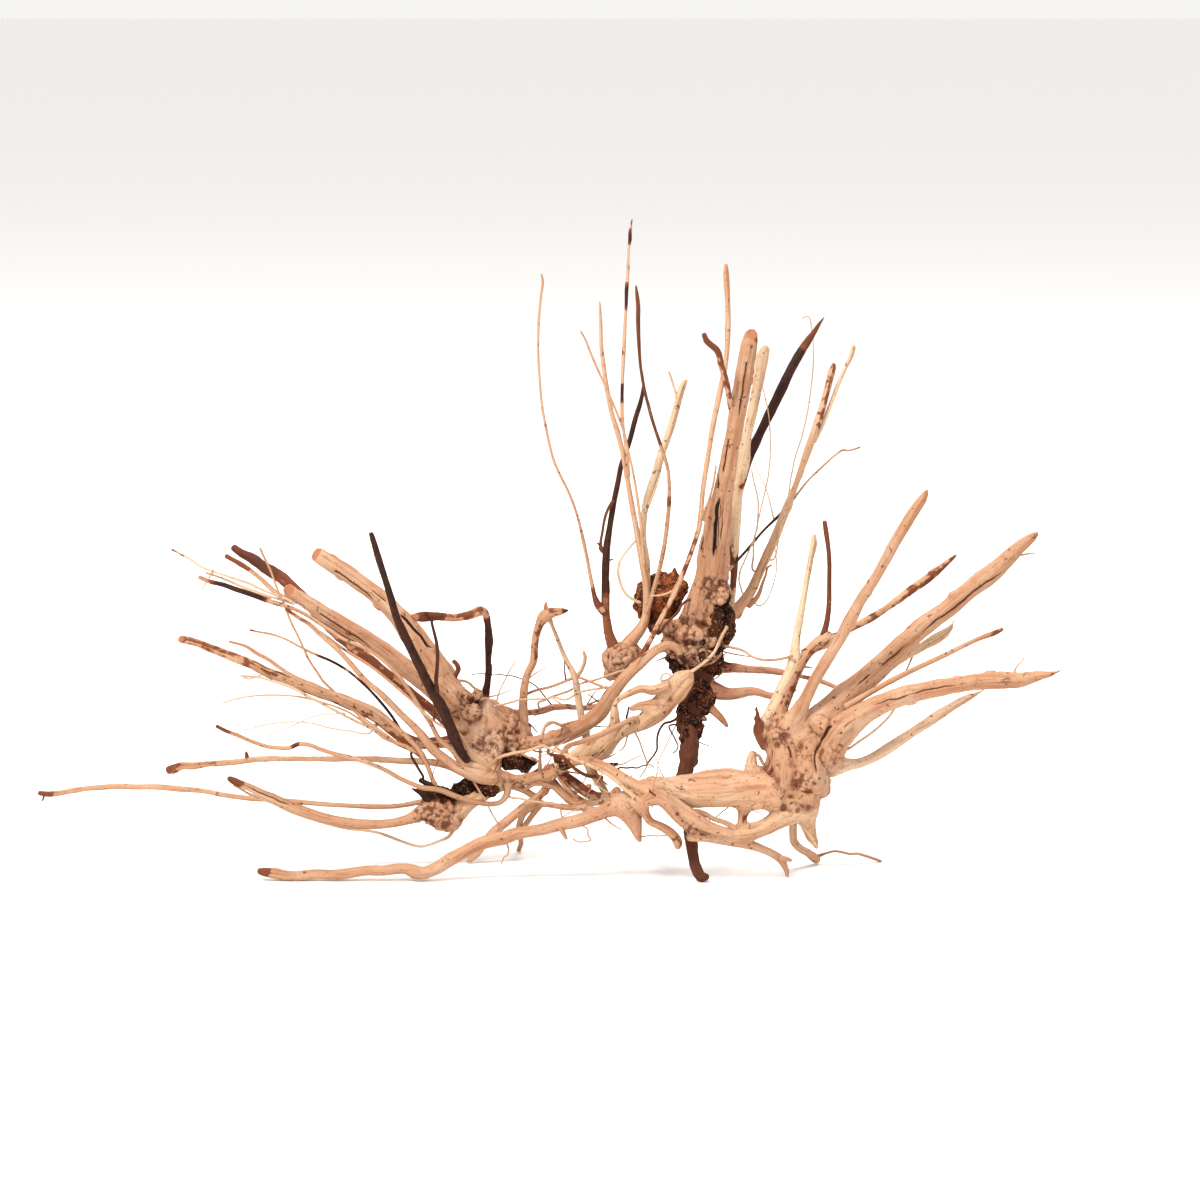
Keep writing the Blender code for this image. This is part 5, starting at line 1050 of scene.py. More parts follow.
# The right crown: a smooth twisted knot with thick stems to the right, and the long root along the front.
rightCrown = {
    "voxel": 0.0011,
    "cracks": (
        (1.5, ((1005, 568), (1000, 573), (990, 581), (980, 587), (965, 600), (950, 611), (935, 621),
            (918, 635))),
        (1.2, ((908, 640), (900, 650), (885, 663), (870, 674), (855, 687), (851, 692))),
        (1.2, ((1037, 679), (1020, 677.5), (1000, 679.5))),
        (1.2, ((1025, 683), (1000, 682.5), (985, 684), (970, 686.5), (960, 687.5))),
        (1.2, ((961, 684), (950, 686), (940, 687), (925, 690), (911, 694.5), (900, 698.5), (887, 700),
            (870, 707))),
        (1.8, ((772, 748), (770, 758), (768, 768), (768, 776))),
        (1.5, ((788, 744), (790, 751), (792, 759))),
        (1.7, ((837, 719), (828, 729), (821, 739), (817, 750), (815, 763), (816, 777))),
    ),
    "knots": (
        (911, 643, 5, 1.6), (952, 595, 5, 1.8), (868, 712, 5, 1.6), (961, 684, 3, -1.0), (814, 729, 7, -2.4),
        (820, 723, 7, 2.4), (821, 724, 2.6, -3.2), (840, 732, 6, 2.0), (841, 733, 2.6, -2.6),
        (789, 798, 5, -4.0), (790, 806, 2.6, -2.0), (806.5, 747, 3, -2.4), (776, 736, 6, 1.0),
        (800, 799, 3, -1.4), (814, 783, 3, -1.6), (837, 765, 4, -1.6), (760, 800, 5, 1.4), (420, 874, 5, 1.0),
        (590, 816, 5, 1.0)),
    "pimples": (
        (802, 783, 12, 16, 1.0), (776, 736, 8, 8, 0.8), (834, 752, 9, 15, 0.5), (768, 722, 9, 10, 0.5)),
    "roots": {
        "frontLong": ("tan", ((0, 0.03, 0.6),), "", 1, (-86, -87, -88, -90, -90), (
            (258, 871, 7), (263, 872, 9.5), (270, 873, 10.5), (290, 876, 10.5), (317, 874, 10.3),
            (333, 874.7, 10.5), (350, 872.7, 10.5), (366, 870.7, 10.2), (383, 870.7, 9.8), (397, 869, 10.5),
            (407, 869, 11), (414, 871.5, 14), (421, 873, 13), (430, 871, 12.5), (439, 867, 12.5),
            (449, 860, 13), (460, 854, 13.5), (471, 848, 13.8), (484, 842.5, 14), (494, 840, 14.5),
            (504, 838, 14), (516, 833.5, 13), (527, 831.5, 12), (543, 829, 12.5), (560, 824.5, 13.5),
            (576, 821, 13.8), (591, 816, 14), (604, 811, 15), (617, 805, 17), (630, 799, 19), (642, 794, 21),
            (658, 791, 23))),
        "frontThorn": ("tan", (), "", 1, (-92, -94), (
            (560, 827, 7), (564, 834, 4.5), (566.5, 839, 2))),
        "frontFoot": ("tan", ((0.7, 1, 0.3),), "", 1, (-91, -93), (
            (624, 806, 20), (633, 818, 19), (636, 828, 14), (638, 836, 9), (640.5, 842, 4))),
        "rightFirst": ("tan", ((0, 0.04, 0.3),), "saw", 1, (-122, -104, -90, -80), (
            (927, 491, 5), (923, 498, 9), (916, 508, 10.5), (908.5, 520, 11.2), (891, 550, 10.6),
            (874, 580, 10.3), (860.5, 601, 11.4), (850.5, 620, 12.2), (840, 639, 11.5), (827, 660, 12),
            (815, 680, 12.4), (805, 700, 13.5), (797, 714, 17), (788, 727, 21), (780, 738, 24))),
        "rightMottled": ("tan", ((0, 1, 0.5),), "", 1, (-24, -44, -54), (
            (956.5, 554.5, 3), (952, 558.5, 5), (945, 564.5, 6.5), (937, 571, 8), (926, 579.5, 8.8),
            (915, 587, 9), (897, 600.5, 8.5), (888, 607, 7.6), (870, 618.5, 8.5), (852, 628, 7.6),
            (838, 636, 7), (822, 645, 8))),
        "rightKnotty": ("tan", ((0, 1, 0.4),), "", 1, (-52, -62, -76), (
            (827, 633, 8), (825, 637, 9.5), (819, 642, 10), (812, 648, 10), (806, 656, 9.6),
            (796.5, 673, 9.8), (792.5, 682, 10), (789.5, 691, 10), (786, 701, 9.5), (782, 711, 10),
            (776, 726, 14))),
        "rightDark": ("tan", ((0, 1, 0.74),), "", 1, (-36, -46, -54), (
            (824.5, 521.5, 4), (825.5, 528, 4.6), (829, 555, 4.6), (829.3, 585, 4.7), (828.5, 611, 5),
            (825.5, 628, 6), (822, 638, 7))),
        "rightPale": ("yellow", (), "", 1, (-22, -40, -62, -74), (
            (814, 534.5, 5), (814, 540, 7.3), (810.5, 560, 6.8), (805, 590, 7.2), (801.5, 610, 8),
            (797.5, 630, 8.4), (794.3, 650, 9), (790.5, 670, 9.5), (781, 690, 10.5), (771.5, 710, 11),
            (768, 720, 13), (768, 734, 16))),
        "rightThick": ("tan", ((0, 0.06, 0.3),), "", 1, (-46, -58, -70, -80), (
            (1038, 532.5, 4), (1034, 536, 8), (1027, 541.5, 11), (1018, 548.5, 13), (1010, 556, 15),
            (994, 571, 18), (972, 588, 18.5), (950, 607, 18), (930, 622, 19), (910, 639, 20.5),
            (890, 657.5, 21.5), (860, 683.5, 22), (838, 701.5, 24.5), (825, 713, 26.5), (812, 725, 29),
            (800, 737, 32), (790, 752, 36))),
        "rightFlake": ("yellow", (), "", 0.5, (-46, -63), (
            (954, 621, 2.5), (951, 627, 6), (945, 633, 10), (936, 639, 12), (926, 645, 11), (909, 655, 8),
            (896, 660, 8))),
        "rightLong": ("tan", ((0, 0.05, 0.4),), "", 1, (-146, -124, -104, -90, -82), (
            (1062, 669.7, 2.2), (1055, 672.5, 4), (1048, 674.5, 7), (1040, 675.5, 9.5), (1030, 678, 13),
            (1020, 680, 16), (1010, 680.5, 17), (985, 681, 17.3), (955, 685, 17), (925, 690.5, 17.8),
            (900, 697, 19), (880, 704.5, 20.5), (860, 715.5, 24), (850, 723, 26), (840, 733, 28),
            (828, 748, 30))),
        "rightRod": ("tan", ((0, 0.1, 0.4),), "", 1, (-76, -80, -84), (
            (1002.5, 629, 3.5), (999, 630.8, 4.6), (977, 639.5, 4.6), (945, 655, 4.8), (915, 669, 5.1),
            (885, 684, 5.6), (872, 691.5, 5.5), (846, 707, 8))),
        "rightLow": ("cream", (), "", 1, (-34, -52, -68, -80), (
            (985, 689.5, 2), (977, 693.5, 4), (968, 698, 7.5), (955, 705, 9), (928, 722, 10.2),
            (900, 740.5, 10.6), (888, 748.5, 11), (877, 755.5, 10.2), (868, 760, 9.4), (858, 763.5, 10),
            (848, 765, 12), (838, 766, 16), (824, 766, 20))),
        "rightHandle": ("cream", (), "", 1, (-80, -92), (
            (838, 752, 5), (850, 748, 2.8), (858, 742.5, 2.6), (876, 729.5, 2.6), (890.5, 715, 2.6),
            (893.5, 710.5, 2.6), (896, 702, 4))),
        "crownLink": ("peach", (), "", 0.95, (-90, -88, -84), (
            (642, 794, 20), (655, 791, 22), (668, 791, 22), (680, 792, 25), (695, 793, 28), (710, 793, 29.5),
            (725, 793, 30), (740, 791, 32), (755, 790, 36), (774, 789, 42))),
        "crownLinkRib": ("peach", (), "", 1, (-86, -86), (
            (668, 783, 7), (690, 779, 8), (702, 776, 8), (712, 773.5, 8), (722, 772, 7), (731, 772, 7),
            (740, 775, 7), (752, 781, 8))),
        "rightSweep": ("pale", (), "", 1, (-84, -88, -90, -92), (
            (804, 802, 28), (788, 814, 22), (776, 821, 18), (763, 828, 16.5), (750, 832, 15),
            (738, 833.5, 14), (725, 834.5, 12.5), (712, 835.5, 11), (702, 836.5, 10.5), (689, 836, 10))),
        "rightToe": ("tan", ((0.7, 1, 0.35),), "", 1, (-91, -88, -77), (
            (716, 837, 8), (732, 842, 7), (741, 843.5, 7.5), (752, 846, 8.2), (764, 850, 8.8),
            (775, 855.5, 9), (782, 861, 8.6), (785, 867, 6.5), (787, 873, 5), (787.3, 877, 3))),
        "rightToeFork": ("tan", (), "", 1, (-85, -86), (
            (780, 858, 6), (788, 859.5, 4.5), (791.5, 860.5, 2.8))),
        "rightTooth": ("pale", (), "", 1, (-80, -68), (
            (806, 800, 26), (807, 818, 18), (809, 829, 13.5), (812, 838, 10), (815, 844, 6.5),
            (817, 848.5, 3))),
        "rightHeel": ("peach", (), "", 1, (-82, -56, -39), (
            (796, 800, 12), (793, 824, 8.3), (793, 834, 8.2), (794, 842, 8.8), (800, 848.5, 8.8),
            (808, 853, 9), (814, 857.5, 10), (817.5, 860.5, 8))),
        "rightFeeler": ("tan", ((0.9, 1, 0.5),), "", 1, (-40, -38, -34), (
            (816, 857, 5), (828, 852.7, 2.8), (834, 851.3, 2.8), (841, 852, 2.8), (850, 854, 2.8),
            (857, 853.7, 2.8), (865, 855.8, 2.8), (881, 861.3, 2.8))),
        "crownPost": ("tan", ((0.2, 0.8, 0.35),), "", 1, (-84, -90), (
            (744, 798, 13), (743.5, 810, 10.5), (742, 818, 8), (742, 826, 7), (742, 834, 7))),
        "crownKnob": ("pale", (), "", 1, (-80, -82), (
            (753, 752, 8), (751, 760, 10), (751, 767, 12), (760, 776, 18))),
        "crownShard": ("brown", ((0, 0.7, 0.7),), "", 0.8, (-76, -76), (
            (757, 706, 2.5), (756, 710, 4.5), (758, 714, 3.5), (756, 718, 6.5), (758, 722, 5), (759, 726, 10),
            (757, 730, 8), (761, 734, 12), (762, 739, 10), (766, 744, 13))),
    },
    "burls": {
        "crownLeft": ("wood", 784, 760, 20, 36, 24, -80),
        "crownRight": ("wood", 808, 770, 20, 38, 26, -82),
        "crownColumn": ("wood", 784, 766, 10, 26, 11, -92),
        "crownKnob": ("wood", 776, 736, 8, 9, 9, -90),
        "crownKnobRight": ("wood", 820, 724, 10, 8, 9, -88),
        "crownKnobSide": ("wood", 841, 733, 7, 8, 7, -86),
        "crownRim": ("wood", 806, 800, 14, 8, 9, -96),
        "crownBead": ("wood", 812, 776, 7, 8, 7, -98),
        "crownLow": ("wood", 797, 794, 25, 20, 22, -84),
        "crownShoulder": ("wood", 824, 756, 18, 19, 20, -80),
        "crownTop": ("wood", 779, 738, 13, 18, 16, -78),
        "crownCorner": ("wood", 814, 785, 17, 15, 16, -82),
    },
}

# The tangle between the crowns: roots that cross, a flat pale slab, and the feet behind.
tangle = {
    "voxel": 0.001,
    "cracks": (
        (1.8, ((648, 789), (652, 792), (657, 796))),
    ),
    "knots": ((671, 701, 5, -1.6), (655, 715, 6, 1.2), (646, 806, 4, 1.0), (690, 828, 5, 1.2)),
    "pimples": ((690, 829, 10, 8, 0.7), (520, 744, 14, 12, 0.7)),
    "roots": {
        "paleFoot": ("peach", (), "", 1, (-40, -38, -42, -37), (
            (550, 779, 7), (540, 794, 7), (533, 800, 8.5), (524.5, 806.5, 9.3), (515, 814.5, 9.6),
            (505.5, 822.5, 9.6), (495, 831, 9.5), (488, 838, 8.5), (482, 848, 7), (475, 856, 7),
            (467.5, 861.3, 5))),
        "backFoot": ("tan", ((0.9, 1, 0.5),), "", 1, (-78, -46, -18, -1), (
            (586, 808, 6), (561, 807, 5.5), (552, 805, 6), (543.5, 804.3, 6), (535, 806.4, 6),
            (527, 811, 6.2), (522, 817, 6.2), (519, 826, 6), (519.5, 835, 5.5), (521, 842, 5),
            (518.6, 850.5, 4))),
        "backFootSide": ("tan", (), "", 1, (-40, -24, -13), (
            (543, 803, 5), (536, 810.5, 6.5), (531, 817, 6.8), (526, 824, 6.5), (520, 830, 5))),
        "upright": ("tan", ((0.05, 0.4, 0.4),), "", 1, (-28, -18, -8), (
            (548.5, 613.5, 8), (541.5, 620, 8.8), (538, 628, 8.8), (535.8, 637, 8.6), (534.4, 650, 8),
            (533.5, 661, 8), (530.5, 668, 8), (527, 675, 7.6), (525, 683, 8), (523.3, 701, 8.5),
            (523.3, 711, 9.2), (523.5, 721, 10.2), (523.5, 731, 11), (521, 743, 12))),
        "uprightTip": ("tan", ((0, 0.6, 0.4), (0.7, 1, 0.95)), "", 0.7, (-28, -32), (
            (544, 616, 7), (552.5, 612.5, 7.2), (557, 612, 8), (562, 611, 7.2), (566, 610.7, 4.5),
            (570, 609.5, 2))),
        "uprightSpur": ("tan", (), "", 1, (-28, -28), (
            (547.5, 615, 6), (545.8, 608, 4.5), (546, 602.5, 2.6))),
        "uprightPale": ("cream", (), "", 1, (-26, -14, -12, -24), (
            (548, 614, 3.5), (552, 625, 4.2), (556, 635, 4.7), (564, 655, 5.3), (568.3, 664, 5.8),
            (572.7, 672, 6.8), (575.7, 681, 7.3), (577, 690, 7.8), (580, 710, 8.5), (582, 720, 8.5),
            (585, 730, 7.5), (588, 742, 7))),
        "uprightSide": ("cream", (), "", 1, (-10, -12), (
            (583.5, 651.5, 3), (585, 656.5, 3.8), (584.5, 662, 3.8), (582, 669, 4.2), (576, 678, 5))),
        "crossBrown": ("pink", ((0, 1, 0.44),), "", 1, (-4, 8, 10, -24), (
            (488, 706, 5), (498, 709.5, 5.5), (504, 711.5, 6.5), (511, 712.3, 7), (520, 712.5, 6.5),
            (530, 712.5, 6.3), (538, 711.8, 6.6), (545, 710, 7), (552, 707.7, 6.6), (560, 707, 6.2),
            (578, 707.4, 5.8), (586, 708, 5.6), (594, 706.5, 5.4), (604, 704, 6))),
        "crossThin": ("tan", (), "", 1, (-12, -12), (
            (522, 696, 3.2), (536, 690.5, 3), (550, 687, 3), (562, 682.5, 3), (568, 680, 3.2),
            (577, 677, 4))),
        "crossThinRight": ("tan", (), "", 1, (-14, -34), (
            (578, 677, 3), (587, 680.5, 2.8), (598, 685, 2.8), (614, 691, 4))),
        "paleRunner": ("pale", (), "", 1, (-46, -72, -94, -100), (
            (488, 770, 5), (491.5, 764, 3.2), (495.5, 760, 3), (501, 756.7, 3), (510, 754, 3), (530, 750, 3),
            (538, 747.3, 3), (542.5, 745.5, 3.2), (548, 748.3, 3), (562, 753, 3), (577, 760, 3.4),
            (595, 767.7, 3.6), (603, 772, 3.6), (611, 777, 3.6), (618, 782.5, 3.8), (625, 789, 4),
            (632, 794.7, 4.5), (640, 801, 6))),
        "bentTwig": ("tan", (), "", 1, (-40, -48, -34), (
            (540, 774, 5), (540, 760, 3.8), (541, 742, 3.5), (543, 732, 3.5), (545.5, 726, 3.2),
            (548.5, 722.8, 3.2), (553, 722.3, 3.2), (559, 724.5, 3.5), (568, 729, 4))),
        "middleArm": ("tan", ((0.93, 1, 0.95),), "", 1, (-16, -26, -34, -40, -34), (
            (508, 744, 14), (530, 744, 14), (545, 741, 15), (560, 737, 16.5), (574, 730.5, 16.5),
            (590, 721, 16), (600, 712, 15.5), (607, 702, 14.5), (615, 690, 13.5), (623, 680, 12.5),
            (632, 671, 11.5), (640, 664, 11), (649, 656, 10.5), (659, 648.5, 10), (669, 645, 9.5),
            (676, 648, 8.5), (681, 655.5, 7), (685, 663, 4.5), (687.5, 667, 2.5))),
        "frontCrossing": ("peach", (), "", 1, (-60, -90, -101, -100, -92), (
            (588, 760, 8), (605, 766, 9), (616, 773, 9.5), (627, 780, 10), (638, 786, 10.5), (650, 790, 11),
            (662, 797, 11), (674, 804, 11.5), (686, 812, 12), (698, 820, 12.5), (710, 827, 11.5),
            (721, 831, 10), (734, 834, 9))),
        "frontLoop": ("tan", ((0.5, 1, 0.38),), "", 1, (-96, -105, -104, -98, -92), (
            (632, 800, 9), (641, 803, 12), (648, 800, 10), (655, 798, 9), (663, 801.5, 9), (670, 808, 9.5),
            (676, 816, 9), (683, 822.5, 9), (690, 828, 9), (697, 833, 9.5), (704, 836, 9))),
        "frontClaw": ("tan", ((0.75, 1, 0.4),), "", 1, (-98, -97, -92), (
            (640, 804, 10), (646, 815, 9), (651, 822, 8.5), (659, 825.5, 8.5), (667, 830, 8.5), (674, 836, 9),
            (678, 843, 9), (678, 847.5, 6.5))),
        "frontRunner": ("peach", (), "", 1, (-97, -92), (
            (688, 812, 5), (698, 811.5, 5), (706, 814.5, 5), (712, 818, 4.8), (727, 823.5, 5),
            (736, 829, 6))),
        "slab": ("pale", (), "", 0.45, (-42, -46, -52), (
            (691, 673, 10), (687, 677, 20), (680, 684, 25), (672, 694, 25), (663, 704.5, 23),
            (653, 714, 20.5), (643, 722.5, 16), (632, 728.5, 11), (620, 734, 9), (608, 740, 9), (597, 746, 9),
            (588, 752, 9), (578, 759, 8))),
        "slabBranch": ("pale", ((0.35, 0.6, 0.42),), "", 1, (-48, -50), (
            (668, 685, 10), (658, 689, 10), (650, 690, 9), (642, 688.5, 8), (634, 691, 7.5), (626, 695, 6.5),
            (619, 699, 6), (615, 704, 6), (614.5, 712, 9), (614.5, 722, 9.5), (612, 731, 8.5), (607, 739, 8),
            (599, 748, 8))),
        "slabTip": ("pale", (), "", 0.8, (-48, -48), (
            (630, 709, 5), (636, 707, 7.5), (644, 705.5, 9), (656, 706, 11))),
        "tanglePale": ("pale", (), "", 1, (-46, -49), (
            (618, 732, 8), (612, 742, 10), (607, 749, 12), (601, 755, 11), (590, 761, 8))),
        "tangleRoot": ("pale", (), "", 1, (-46, -50), (
            (622, 727, 6), (604, 734, 6), (588, 740.5, 6.5), (582, 746, 6.5), (576, 752, 7), (568, 757, 7),
            (556, 765, 9))),
        "tangleStub": ("cream", (), "", 1, (-56, -50), (
            (588, 763, 9), (592, 772, 9), (596, 778, 8.5), (601, 785, 8), (606, 794, 8))),
    },
    "burls": {},
}


build = {"thickStep": 0.0022, "thinStep": 0.0016, "fusedFrom": 0.0022}  # the last is the least fused radius

wood = dryWood()
soil = crumblyMaterial("driedSoil", soilLook)
rotten = crumblyMaterial("rottenWood", rottenLook)

allPaths = []  # every root, for the fine ones to start on
skins = []  # the fused crowns' points, for the crusts to lie on


def makePiece(name, look):
    thick, thin = [], []
    for row in look["roots"].values():
        path = smoothPath(row, build["thickStep"])
        if np.median(path["radius"]) >= build["fusedFrom"]:
            thick.append(path)
        else:
            thin.append(smoothPath(row, build["thinStep"]))
    allPaths.extend(thick + thin)
    balls = [readBall(row) for row in look["burls"].values()]
    made = [fusedWood(name, look, thick, [piece for piece in balls if piece["kind"] == "wood"], wood)]
    skins.append(pointsOf(made[0].data))
    if thin:
        made.append(thinRoots(name + "Roots", thin, wood))
    for kind, finishOf, material in (("soil", soilLook, soil), ("rotten", rottenLook, rotten)):
        lumps = [piece for piece in balls if piece["kind"] == kind]
        if lumps:
            made.append(crumbly(name + kind.capitalize(), finishOf, lumps, material))
    for obj in made:
        print(obj.name, sum(len(face.vertices) - 2 for face in obj.data.polygons), "triangles")


for pieceName, pieceLook in (("leftCrown", leftCrown), ("middleCrown", middleCrown),
                             ("rightCrown", rightCrown), ("tangle", tangle)):
    makePiece(pieceName, pieceLook)


# Caked soil lies on the wood where the photograph shows it: (across, down, half wide, half high) in pixels.
crusts = {
    "middleCrust": ((717, 612, 11, 14), (725, 628, 9, 16), (716, 648, 11, 12), (729, 602, 5, 9),
                    (710, 668, 9, 9), (727, 650, 6, 12), (705, 686, 8, 11), (703, 705, 8, 13),
                    (699, 726, 8, 14), (716, 628, 9, 12), (693, 700, 8, 14), (690, 722, 7, 13),
                    (685, 713, 6, 13), (684, 735, 6, 11), (705, 655, 8, 8)),
    "leftCrust": ((512, 764, 14, 7), (530, 760, 10, 6), (545, 757, 8, 5), (484, 788, 13, 6), (468, 790, 8, 6),
                  (560, 757, 8, 5), (452, 792, 10, 7), (436, 794, 9, 5)),
    "tangleCrust": ((612, 762, 7, 3), (634, 764, 7, 3), (566, 768, 8, 3)),
}
crustLook = {"near": 3, "flat": 0.42, "sunk": 0.5}  # pixels, share of its width, share of its thickness


# The wood's point that shows at each spot and is nearest to the camera carries a flat lump of soil.
def makeCrusts():
    points = np.concatenate(skins)
    across, down = toPhoto(points)
    depth = (points - eye) @ forward
    for name, row in crusts.items():
        balls = []
        for u, v, wide, high in row:
            shown = np.nonzero(np.hypot(across - u, down - v) < crustLook["near"])[0]
            if len(shown):
                front = points[shown[depth[shown].argmin()]]
                sizes = np.array([wide, crustLook["flat"] * min(wide, high), high]) * pixel
                balls.append({"centre": front + forward * sizes[1] * crustLook["sunk"], "sizes": sizes})
        made = crumbly(name, soilLook, balls, soil)
        print(name, len(balls), "lumps", len(made.data.polygons), "faces")


makeCrusts()


